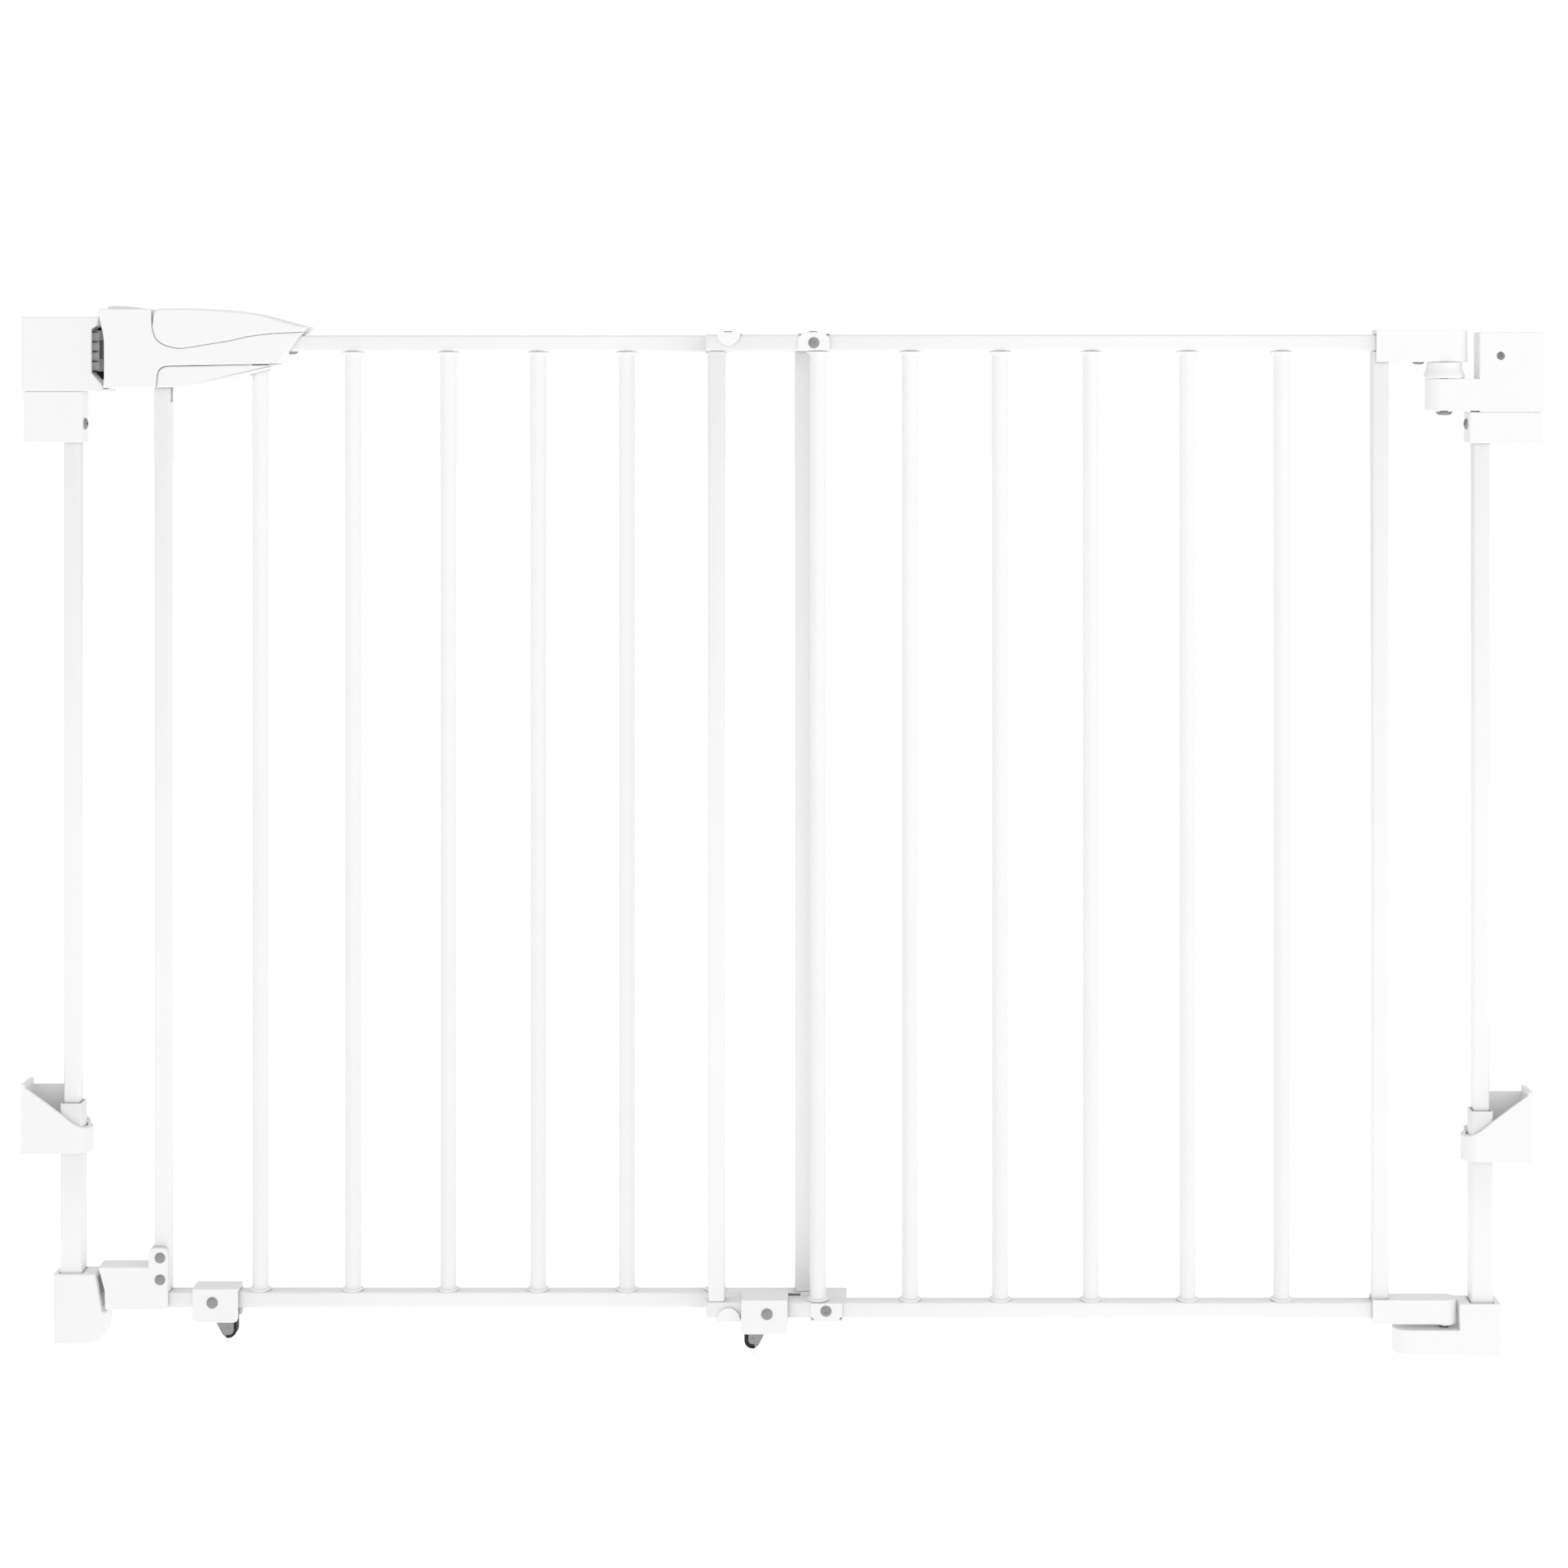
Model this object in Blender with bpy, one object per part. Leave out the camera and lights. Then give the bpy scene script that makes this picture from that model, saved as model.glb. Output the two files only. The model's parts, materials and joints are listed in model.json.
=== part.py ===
"""Telescoping two-panel safety gate for a doorway, fixed to the walls on both sides.

X runs from the latch wall (-X) to the hinge wall (+X), Y from the front to the back, Z up.
The origin is at the bottom centre of the closed gate.  All lengths are in metres.
"""

import math

import bmesh
import bpy
from mathutils import Matrix, Vector

MM = 0.001

# Overall sizes
GATE_HEIGHT = 711 * MM
HINGE_PANEL_SPAN = 450.2 * MM       # between the end posts of the front panel
LATCH_PANEL_SPAN = 439.2 * MM       # between the end posts of the rear panel
PANEL_OVERLAP = 58.2 * MM           # front panel's left post to rear panel's right post
PANEL_OFFSET = 22.6 * MM            # depth from the front panel's plane to the rear one's

# Distances along X from wall to wall
LATCH_STANDOFF = 33.4 * MM          # latch wall to the centre of its post
LATCH_GAP = 62.0 * MM               # latch wall post to the rear panel's left post
HINGE_PANEL_REACH = 44.0 * MM       # front panel's right post to the hinge axis
HINGE_AXIS_REACH = 24.4 * MM        # hinge axis to the hinge wall post
HINGE_STANDOFF = 41.0 * MM          # hinge wall to the centre of its post

# Tubes and bars
RAIL_HEIGHT = 11 * MM
RAIL_DEPTH = 12 * MM
RAIL_WALL = 1.2 * MM
END_POST = 11 * MM                  # square
END_POST_WALL = 1.2 * MM
BAR_RADIUS = 5.5 * MM
BAR_BORE = 4.4 * MM
COLLAR_RADIUS = 7.6 * MM
COLLAR_HEIGHT = 2.2 * MM
INNER_POST = 11 * MM                # square, slides in the outer tube
INNER_POST_WALL = 1.2 * MM
OUTER_TUBE = 15 * MM                # square
OUTER_TUBE_WALL = 1.5 * MM
OUTER_TUBE_TOP = 164.6 * MM
INNER_POST_FOOT = 120 * MM

# Heights
HANDLE_ABOVE_RAIL = 25.8 * MM       # top of the thumb button above the top rail's centre line
BOTTOM_RAIL_Z = 29.7 * MM           # centre line of the bottom rails

# Clearances
TOUCH = 0.3 * MM                    # between pieces that rest on each other
SLIDE = 0.4 * MM                    # round pieces that slide or turn

# Hinge pins and the sleeves that turn on them
PIN_RADIUS = 2.8 * MM
PIN_HEAD = 5 * MM
PIN_HEAD_HEIGHT = 1.8 * MM
PIN_IN_TOP_SLEEVE = 3 * MM          # top pin's end above the top rail's centre line
PIN_IN_BOTTOM_SLEEVE = 4 * MM       # bottom pin's end below the top of its sleeve
BORE_SPARE = 0.4 * MM               # a pin's bore runs this much past its end
RAIL_INTO_SLEEVE = 30 * MM          # how far a front rail runs past its right post
SLEEVE_PAST_POST = (3.4 * MM, 5.8 * MM)  # top and bottom sleeves' flat ends left of that post
TOP_SLEEVE_HALF = 9.3 * MM
TOP_SLEEVE_END = 15.6 * MM          # hinge axis to the top sleeve's round end
TOP_SLEEVE_ROUND = 12 * MM          # length of that round end
SLEEVE_DROP = 12.9 * MM             # top sleeve below and above the top rail's centre line
SLEEVE_RISE = 8.8 * MM
BOTTOM_SLEEVE_HALF = 8.0 * MM
BOTTOM_SLEEVE = (20.9 * MM, 37.0 * MM)  # its foot and top
BOSS_RADIUS = 6.8 * MM              # under the bottom sleeve, round the pin
BOSS_FOOT = 19.6 * MM
BELL_TOP_RADIUS = 11.7 * MM
BELL_FOOT_RADIUS = 13.8 * MM
BELL_NECK = 0.62                    # share of the bell's height where the flare ends

# Hinge-side brackets
BRACKET_HALF = 10 * MM              # half the depth of both
BRACKET_EDGE = 0.8 * MM             # chamfer
ARM_STEP = 0.9 * MM                 # arms sit this much higher underneath than their boxes
TOP_BOX_REACH = 43.2 * MM           # width of the box against the hinge wall
TOP_BOX_RISE = 7.2 * MM             # box top above the top rail's centre line
TOP_BOX_DROP = 46.9 * MM
ARM_DROP = 24.4 * MM                # arm top below the rail's centre line
TOP_ARM_END = 12.9 * MM             # hinge axis to the arm's round end
POST_INTO_BOX = 18 * MM
FIXING_HOLE = (12.1 * MM, -8.8 * MM)  # from the post and the top rail
FIXING_HOLE_RADIUS = 2.8 * MM
SLEEVE_HEIGHT = 20.8 * MM           # block under the hinge box
SLEEVE_PAST_WALL_POST = 9 * MM
SLEEVE_WALL_GAP = 1.2 * MM
BOTTOM_ARM_HEIGHT = 17.2 * MM
BOTTOM_ARM_END = 35.5 * MM
HINGE_SOCKET = (8.8 * MM, 36.5 * MM)  # hinge axis to the socket's two faces
HINGE_SOCKET_HEIGHT = 35.1 * MM

# Sockets for the wall posts' feet
SOCKET_FLOOR = 3 * MM
TUBE_FIT = 0.6 * MM                 # visible gap between the outer tube and its socket
LATCH_SOCKET_HALF = 10 * MM
LATCH_SOCKET_HEIGHT = 48.6 * MM

# Strike on the latch wall: heights from the top rail's centre line, reaches from the post
STRIKE_HALF = 9 * MM
STRIKE_FOOT = -32.9 * MM
STRIKE_TOP = 18.2 * MM
STRIKE_LIP = (26.8 * MM, 1.8 * MM)  # reach and thickness of the lip under the mouth
NOTCH_REACH = 14.5 * MM             # to the bottom of the mouth
NOTCH_Z = (-20.1 * MM, 9.9 * MM)
STRIKE_EDGE = 19.6 * MM
LATCH_SLEEVE_Z = (-67.9 * MM, -34.8 * MM)
LATCH_SLEEVE_REACH = 7.7 * MM
LATCH_SLEEVE_GAP = 1.6 * MM         # to the wall
INSERT_X = (7.0 * MM, 19.1 * MM)
INSERT_HALF = 6 * MM
RIB_HEIGHT = 1.6 * MM
RIB_PITCH = 6.5 * MM
RIB_PROUD = 1.3 * MM
RIB_COUNT = 5

# Bolts
BOLT_HALF_DEPTH = 4.2 * MM
BOLT_HEIGHT = 12 * MM
BOLT_LENGTH = 27 * MM
BOLT_TIP = 37.3 * MM                # rear left post to the drawn-in tip
BOLT_TRAVEL = 12 * MM
BOLT_SPARE = 3.3 * MM               # pocket deeper than the shot bolt
TOP_BOLT_DROP = 4 * MM              # bolt centre below the top rail's centre line
LOWER_BOLT_Z = 39 * MM
PULL_ROD_RADIUS = 2.0 * MM
PULL_ROD_FOOT = 4 * MM              # its lower end above the bottom rail when let down
ROD_SLOT_HALF = 2.8 * MM            # slot in the post for the lever's finger

# Handle: half depths and walls
HANDLE_HALF = 16 * MM
SHELL_WALL = 2.0 * MM
COVER_WALL = 2.6 * MM
COVER_INSIDE = (-2.0, 89.0, -12.0)  # its hollow's two ends and foot, as in the outlines below
LEVER_HALF = 13 * MM
LEVER_FLOOR = 2.0 * MM
LEVER_PIN_RADIUS = 1.4 * MM
LEVER_EAR_HALF = 6 * MM
EAR_REACH = 2.7 * MM                # lever's pivot to either side of its ear
EAR_Z = (-16.5 * MM, -9 * MM)
FINGER_X = (2.8 * MM, 11 * MM)      # from the rear left post
FINGER_HALF = 2.2 * MM
FINGER_DROP = (28.0 * MM, 24.5 * MM)  # finger's faces below the top rail's centre line
LEVER_DROP = 8.2 * MM               # how far the finger falls when the lever is let go
BUTTON_HALF = 8.8 * MM
BUTTON_PIVOT = (-11 * MM, 21.6 * MM)  # from the rear left post and the top rail
INNER_REACH = (34 * MM, 10 * MM)    # depths of the passages below the top rail's centre line

# Handle outlines: x from the rear panel's left post, z from the top rail's centre line, in millimetres
LEVER_TOP = [(-2.2, -30.1), (-1.5, -21.8), (0.2, -17.9), (4.1, -15.8), (13.3, -15.5), (79.8, -14.9)]
LEVER_BOTTOM = [(75.9, -16.8), (63.1, -20.7), (50.4, -24.0), (33.5, -27.6), (21.0, -29.3), (10.5, -30.0)]
GRIP_SEAM = [(-4.8, 10.9), (-2.5, 3.7), (1.7, -0.2), (6.6, -2.2), (15.5, -3.5), (33.5, -0.8), (50.4, 2.0),
             (60.6, 4.4), (75.9, 6.4), (97.7, 7.5)]
GRIP_TOP = [(101.2, 11.0), (92.3, 13.2), (80.1, 16.6), (66.8, 20.0), (54.6, 21.9), (41.2, 22.8),
            (24.0, 23.7), (0.2, 23.7), (-3.4, 22.8)]
NOSE_EDGE = [(-40.4, 23.4), (-41.0, 20.3), (-39.3, 11.6), (-37.4, 2.0), (-37.2, -20.2), (-38.0, -30.4)]
END_FACE = [(81.2, -13.9), (88.1, -4.7), (95.3, 5.0)]
BUTTON_SIDE = [(-36.6, 19.4), (-9.9, 19.4), (-9.9, 23.4), (-11.2, 23.9), (-33.6, 25.8), (-35.8, 25.3),
               (-36.6, 24.0)]
LEVER_GAP = 0.9                     # shell above and left of the lever
SEAM_GAP = 0.35                     # shell below the grip cover

# Lower bolt's housing, as above but with heights from the floor
HOUSING_SIDE = [(-38.4, 24.0), (1.6, 24.0), (3.7, 24.8), (4.7, 27.0), (4.7, 62.0), (3.6, 65.0), (1.0, 66.2),
                (-5.0, 66.2), (-7.9, 65.0), (-8.9, 62.0), (-8.9, 53.1), (-43.0, 53.1), (-38.7, 37.3)]

# Latch wall post's foot, x from that post
SOCKET_SIDE = [(-11.2, 0.9), (12.6, 0.9), (20.4, 3.0), (24.0, 7.6), (24.4, 22.0), (21.7, 23.2),
               (17.2, LATCH_SOCKET_HEIGHT / MM), (-11.2, LATCH_SOCKET_HEIGHT / MM)]

# Width locks
LOCK_HALF = 9.3 * MM                # half depth of the rear panel's lock
HINGE_LOCK_HALF = 12 * MM           # half depth of the front panel's lock
LOCK_WIDTH = 31.4 * MM
LOCK_FOOT = 15.0 * MM
LOCK_TOP = 38.5 * MM
LOCK_CORNER = 3 * MM
LOCK_INSIDE = 7.8 * MM
LOCK_RIVET_Z = 28.9 * MM
RIVET_RADIUS = 1.6 * MM
RIVET_HEAD = 3.8 * MM
RIVET_CAP = 1.2 * MM
RIVET_INSET = 13.9 * MM             # rivet to the near side of its housing
PAWL_REACH = 15.2 * MM              # rivet to the pawl's straight edge
PAWL_NEAR = 0.4 * MM                # rivet to its slanted edge
PAWL_CHEEK = (6.4 * MM, 7.4 * MM)   # inner and outer face of its side plates
PAWL_TONGUE_HALF = 4.2 * MM
PAWL_SKIRT = 16.5 * MM              # height where the tongue widens to the side plates
PAWL_ROOT = 22.6 * MM
PAWL_TIP_RADIUS = 5.2 * MM
PAWL_TIP_Z = 8.8 * MM               # centre of the tip's arc
PAWL_EYE = 4.0 * MM
FRONT_LOCK_PLACE = 34.4 * MM        # front left post to the rivet
REAR_LOCK_PLACE = 35.2 * MM         # rear left post to the rivet

# Sliding clips between the panels
CLIP_PLATE = 1.6 * MM               # thickness of the strap in front of and behind the rails
CLIP_TOP = 1.3 * MM
CLIP_GAP = 0.4 * MM
CLIP_SHOULDER = 4 * MM
FRONT_CLIP_WIDTH = 16.4 * MM
FRONT_CLIP_REACH = 9.2 * MM
REAR_CLIP_WIDTH = 21.6 * MM
REAR_CLIP_REACH = RAIL_HEIGHT + CLIP_GAP + CLIP_TOP - 0.3 * MM
REAR_CLIP_INSET = 3 * MM            # rear right post to the upper rear clip's left side
REAR_CLIP_SHIFT = 8.6 * MM          # the lower rear clip sits this much nearer the hinge
FRONT_RAIL_TAIL = 0.9 * MM          # front rail past its left post's side
REAR_RAIL_TAIL = 29.1 * MM          # how far a rear rail runs past its right post

# Wall scoops: profiles are distance from the wall and height, in millimetres
SCOOP_HALF = 11.5 * MM
SCOOP_LENGTH = 46.6 * MM
SCOOP_ROUND = 10 * MM
SCOOP_FOOT = 131.2 * MM
SCOOP_TOP = 178.5 * MM
SCOOP_WALL = 2.4 * MM
SCOOP_BACK_WALL = 3.0 * MM          # against the wall, and its floor
SCOOP_NOSE_WALL = 3.4 * MM
SCOOP_CUP = [(3.0, 176.0), (14.8, 167.6), (26.0, 159.2), (36.0, 151.4), (45.6, 147.6), (60.0, 147.6)]
SCOOP_BACK = [(3.0, 174.4), (27.0, 174.4), (40.5, 151.4), (60.0, 147.6)]
SCOOP_SCREWS = (149 * MM, 164 * MM)
SCOOP_SCREW_RADIUS = 2.3 * MM

# Bars: the first one stands at a fixed distance from the left post, and the others share
# what is left of the panel in these proportions
FRONT_FIRST_BAR = 68.6 * MM
REAR_FIRST_BAR = 66.4 * MM
FRONT_PITCHES = (62.6, 61.2, 61.7, 65.7, 63.9, 66.5)
REAR_PITCHES = (63.6, 65.5, 61.7, 61.0, 61.1, 59.9)

# Places worked out from the sizes above
OVERALL_WIDTH = (LATCH_STANDOFF + LATCH_GAP + LATCH_PANEL_SPAN - PANEL_OVERLAP
                 + HINGE_PANEL_SPAN + HINGE_PANEL_REACH + HINGE_AXIS_REACH + HINGE_STANDOFF)
LATCH_WALL_X = -OVERALL_WIDTH / 2
HINGE_WALL_X = OVERALL_WIDTH / 2
LATCH_POST_X = LATCH_WALL_X + LATCH_STANDOFF
REAR_LEFT_X = LATCH_POST_X + LATCH_GAP
REAR_RIGHT_X = REAR_LEFT_X + LATCH_PANEL_SPAN
FRONT_LEFT_X = REAR_RIGHT_X - PANEL_OVERLAP
FRONT_RIGHT_X = FRONT_LEFT_X + HINGE_PANEL_SPAN
HINGE_AXIS_X = FRONT_RIGHT_X + HINGE_PANEL_REACH
HINGE_POST_X = HINGE_AXIS_X + HINGE_AXIS_REACH
OVERALL_DEPTH = BELL_FOOT_RADIUS + PANEL_OFFSET + HANDLE_HALF
FRONT_Y = BELL_FOOT_RADIUS - OVERALL_DEPTH / 2
REAR_Y = FRONT_Y + PANEL_OFFSET
TOP_RAIL_Z = GATE_HEIGHT - HANDLE_ABOVE_RAIL
LEVER_PIVOT = (REAR_FIRST_BAR + BAR_RADIUS + 3.5 * MM, -12 * MM)  # from the left post and the top rail
FINGER_Z = (TOP_RAIL_Z - FINGER_DROP[0], TOP_RAIL_Z - FINGER_DROP[1])
BOLT_POCKET_X = REAR_LEFT_X - BOLT_TIP - BOLT_TRAVEL - BOLT_SPARE  # bottom of both bolts' pockets


# ---------------------------------------------------------------- modelling helpers

def clear_scene():
    """Remove everything that a new file holds."""
    for item in list(bpy.data.objects):
        bpy.data.objects.remove(item, do_unlink=True)


def finish_material(name, colour, roughness, metallic=0.0):
    """A Principled finish for one kind of piece."""
    found = bpy.data.materials.get(name)
    if found:
        return found
    material = bpy.data.materials.new(name)
    material.use_nodes = True
    shader = material.node_tree.nodes["Principled BSDF"]
    shader.inputs["Base Color"].default_value = (*colour, 1.0)
    shader.inputs["Roughness"].default_value = roughness
    shader.inputs["Metallic"].default_value = metallic
    material.diffuse_color = (*colour, 1.0)
    return material


def white_steel():
    return finish_material("white_steel", (0.87, 0.87, 0.87), 0.38)


def white_plastic():
    return finish_material("white_plastic", (0.88, 0.88, 0.88), 0.45)


def grey_plastic():
    return finish_material("grey_plastic", (0.33, 0.33, 0.34), 0.5)


def zinc():
    return finish_material("zinc", (0.42, 0.42, 0.43), 0.35, 0.9)


def mesh_object(name, bm, material):
    """Turn a bmesh into a named object with one material."""
    bmesh.ops.recalc_face_normals(bm, faces=bm.faces)
    mesh = bpy.data.meshes.new(name)
    bm.to_mesh(mesh)
    bm.free()
    mesh.materials.append(material)
    item = bpy.data.objects.new(name, mesh)
    bpy.context.scene.collection.objects.link(item)
    return item


def soften(bm, edges, width, segments):
    """Round chosen edges of a bmesh."""
    bmesh.ops.bevel(bm, geom=list(edges), offset=width, segments=segments, profile=0.5,
                    affect="EDGES", clamp_overlap=True)


def block(name, x, y, z, material, bevel=0.0, segments=2):
    """A box from its low and high limits on each axis."""
    bm = bmesh.new()
    size = Vector((x[1] - x[0], y[1] - y[0], z[1] - z[0]))
    middle = Vector((x[0] + x[1], y[0] + y[1], z[0] + z[1])) / 2
    bmesh.ops.create_cube(bm, size=1.0, matrix=Matrix.Translation(middle) @ Matrix.Diagonal((*size, 1)))
    if bevel:
        soften(bm, bm.edges, bevel, segments)
    return mesh_object(name, bm, material)


def prism(name, outline, span, axis, material, rim=0.0, segments=2):
    """Extrude an outline along Y (points are x, z) or along Z (points are x, y)."""
    bm = bmesh.new()
    if axis == "Y":
        loop = [bm.verts.new((a, span[0], b)) for a, b in outline]
        push = Vector((0, span[1] - span[0], 0))
    else:
        loop = [bm.verts.new((a, b, span[0])) for a, b in outline]
        push = Vector((0, 0, span[1] - span[0]))
    base = bm.faces.new(loop)
    grown = bmesh.ops.extrude_face_region(bm, geom=[base])
    bmesh.ops.translate(bm, vec=push, verts=[v for v in grown["geom"] if isinstance(v, bmesh.types.BMVert)])
    bmesh.ops.recalc_face_normals(bm, faces=bm.faces)
    if rim:
        caps = [face for face in bm.faces if len(face.verts) == len(outline)]
        edges = {edge for face in caps for edge in face.edges}
        soften(bm, edges, rim, segments)
    return mesh_object(name, bm, material)


def turned(name, profile, centre, material, axis="Z", sides=24, closed=False):
    """Spin (radius, height) points about an axis through centre.

    An open profile starts and ends on the axis; a closed one makes a ring.
    """
    bm = bmesh.new()
    points = [bm.verts.new((r, 0, h)) for r, h in profile]
    pairs = list(zip(points, points[1:]))
    if closed:
        pairs.append((points[-1], points[0]))
    edges = [bm.edges.new(pair) for pair in pairs]
    bmesh.ops.spin(bm, geom=points + edges, cent=(0, 0, 0), axis=(0, 0, 1), dvec=(0, 0, 0),
                   angle=2 * math.pi, steps=sides, use_merge=True)
    bmesh.ops.remove_doubles(bm, verts=bm.verts, dist=1e-6)
    turn = {"X": Matrix.Rotation(math.pi / 2, 4, "Y"), "Y": Matrix.Rotation(-math.pi / 2, 4, "X"),
            "Z": Matrix.Identity(4)}[axis]
    bmesh.ops.transform(bm, matrix=Matrix.Translation(centre) @ turn, verts=bm.verts)
    item = mesh_object(name, bm, material)
    item.data.shade_smooth()
    item.data.set_sharp_from_angle(angle=math.radians(35))
    return item


def rod(name, radius, span, centre, material, axis="Z", sides=24):
    """A plain round bar between two positions along its axis."""
    profile = [(0, span[0]), (radius, span[0]), (radius, span[1]), (0, span[1])]
    return turned(name, profile, centre, material, axis, sides)


def rounded_rectangle(width, height, radius, steps=2):
    """Corner points of a rounded rectangle about the origin."""
    points = []
    corners = ((1, 1, 0), (-1, 1, 90), (-1, -1, 180), (1, -1, 270))
    for side_x, side_y, start in corners:
        middle = (side_x * (width / 2 - radius), side_y * (height / 2 - radius))
        for step in range(steps + 1):
            angle = math.radians(start + 90 * step / steps)
            points.append((middle[0] + radius * math.cos(angle), middle[1] + radius * math.sin(angle)))
    return points


def box_tube(name, width, depth, wall, span, centre, axis, material, radius=1.4 * MM):
    """A rectangular tube with rounded edges, open at both ends, along X or Z."""
    bm = bmesh.new()
    rings = []
    shapes = (rounded_rectangle(width, depth, radius), rounded_rectangle(width - 2 * wall, depth - 2 * wall,
                                                                         max(radius - wall, 0.3 * MM)))
    for shape in shapes:
        for place in span:
            if axis == "Z":
                ring = [bm.verts.new((centre[0] + a, centre[1] + b, place)) for a, b in shape]
            else:
                ring = [bm.verts.new((place, centre[0] + a, centre[1] + b)) for a, b in shape]
            rings.append(ring)
    outer_low, outer_high, inner_low, inner_high = rings
    for first, second in ((outer_low, outer_high), (outer_high, inner_high),
                          (inner_high, inner_low), (inner_low, outer_low)):
        for index in range(len(first)):
            after = (index + 1) % len(first)
            bm.faces.new((first[index], first[after], second[after], second[index]))
    return mesh_object(name, bm, material)


def combine(target, others, operation):
    """Join others to target, cut them from it or keep what they share, and drop them.

    The solids are enlarged to millimetre units meanwhile, so that fine edges stay well
    above the solver's own tolerance.
    """
    for item in (target, *others):
        item.data.transform(Matrix.Scale(1 / MM, 4))
    for other in others:
        modifier = target.modifiers.new(operation.lower(), "BOOLEAN")
        modifier.operation = operation
        modifier.solver = "EXACT"
        modifier.object = other
    bpy.context.view_layer.update()
    solid = target.evaluated_get(bpy.context.evaluated_depsgraph_get())
    result = bpy.data.meshes.new_from_object(solid)
    target.modifiers.clear()
    old = target.data
    result.transform(Matrix.Scale(MM, 4))
    target.data = result
    bpy.data.meshes.remove(old)
    result.name = target.name
    for other in others:
        bpy.data.objects.remove(other, do_unlink=True)
    return target


def cut(target, *cutters):
    return combine(target, cutters, "DIFFERENCE")


def join(target, *others):
    return combine(target, others, "UNION")


def shared(target, *others):
    return combine(target, others, "INTERSECT")


def cutter_box(x, y, z):
    return block("cutter", x, y, z, white_plastic())


def cutter_rod(radius, span, centre, axis="Z", sides=24):
    return rod("cutter", radius, span, centre, white_plastic(), axis, sides)


def around(middle, half):
    """Low and high limits about a middle."""
    return (middle - half, middle + half)


def put_origin(item, point):
    """Move an object's origin to its joint axis and leave its shape in place."""
    item.data.transform(Matrix.Translation(-Vector(point)))
    item.location = point
    return item


def smooth(item, angle=35):
    item.data.shade_smooth()
    item.data.set_sharp_from_angle(angle=math.radians(angle))
    return item


def stadium(x_flat, x_round, y, half, steps=12, reach=None):
    """Plan outline: flat at x_flat, and a round end at x_round of the given half width."""
    reach = half if reach is None else reach
    side = 1 if x_round > x_flat else -1
    middle = x_round - side * reach
    points = [(x_flat, y - side * half)]
    for step in range(steps + 1):
        angle = math.pi * step / steps - math.pi / 2
        points.append((middle + side * reach * math.cos(angle), y + side * half * math.sin(angle)))
    points.append((x_flat, y + side * half))
    return points


def inset(points, distance):
    """Move every side of an anticlockwise outline inwards and meet the sides again."""
    result = []
    count = len(points)
    for index in range(count):
        before = Vector(points[index - 1])
        here = Vector(points[index])
        after = Vector(points[(index + 1) % count])
        one = (here - before).normalized()
        two = (after - here).normalized()
        left_one = Vector((-one.y, one.x))
        left_two = Vector((-two.y, two.x))
        bisector = (left_one + left_two).normalized()
        result.append(tuple(here + bisector * (distance / max(bisector.dot(left_one), 0.4))))
    return result


# ---------------------------------------------------------------- panels

def bar_places(left_x, span, first, pitches):
    """X of each bar between two end posts."""
    unit = (span - first) / sum(pitches)
    places = [left_x + first]
    for pitch in pitches[:-1]:
        places.append(places[-1] + pitch * unit)
    return places


def upright_span():
    """Low and high ends of what stands between the rails."""
    low = BOTTOM_RAIL_Z + RAIL_HEIGHT / 2 + TOUCH
    high = TOP_RAIL_Z - RAIL_HEIGHT / 2 - TOUCH
    return low, high


def make_bar(name, x, y):
    """A round tube with a collar at each end."""
    low, high = upright_span()
    edge = 0.6 * MM
    profile = [
        (BAR_BORE, low), (COLLAR_RADIUS, low), (COLLAR_RADIUS, low + COLLAR_HEIGHT - edge),
        (COLLAR_RADIUS - edge, low + COLLAR_HEIGHT), (BAR_RADIUS, low + COLLAR_HEIGHT),
        (BAR_RADIUS, high - COLLAR_HEIGHT), (COLLAR_RADIUS - edge, high - COLLAR_HEIGHT),
        (COLLAR_RADIUS, high - COLLAR_HEIGHT + edge), (COLLAR_RADIUS, high), (BAR_BORE, high)]
    return turned(name, profile, (x, y, 0), white_steel(), sides=16, closed=True)


def make_end_post(name, x, y):
    return box_tube(name, END_POST, END_POST, END_POST_WALL, upright_span(), (x, y), "Z", white_steel())


def make_rail(name, span, y, z):
    return box_tube(name, RAIL_DEPTH, RAIL_HEIGHT, RAIL_WALL, span, (y, z), "X", white_steel())


def make_panel(prefix, left_x, right_x, y, rail_span, first, pitches):
    """Rails, end posts and bars of one panel; returns them by name."""
    pieces = {}
    for level, z in (("top", TOP_RAIL_Z), ("bottom", BOTTOM_RAIL_Z)):
        name = f"{prefix}_{level}_rail"
        pieces[name] = make_rail(name, rail_span, y, z)
    for side, x in (("left", left_x), ("right", right_x)):
        name = f"{prefix}_{side}_post"
        pieces[name] = make_end_post(name, x, y)
    for number, x in enumerate(bar_places(left_x, right_x - left_x, first, pitches), start=1):
        name = f"{prefix}_bar_{number}"
        pieces[name] = make_bar(name, x, y)
    return pieces


# ---------------------------------------------------------------- sliding clips between the panels

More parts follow.
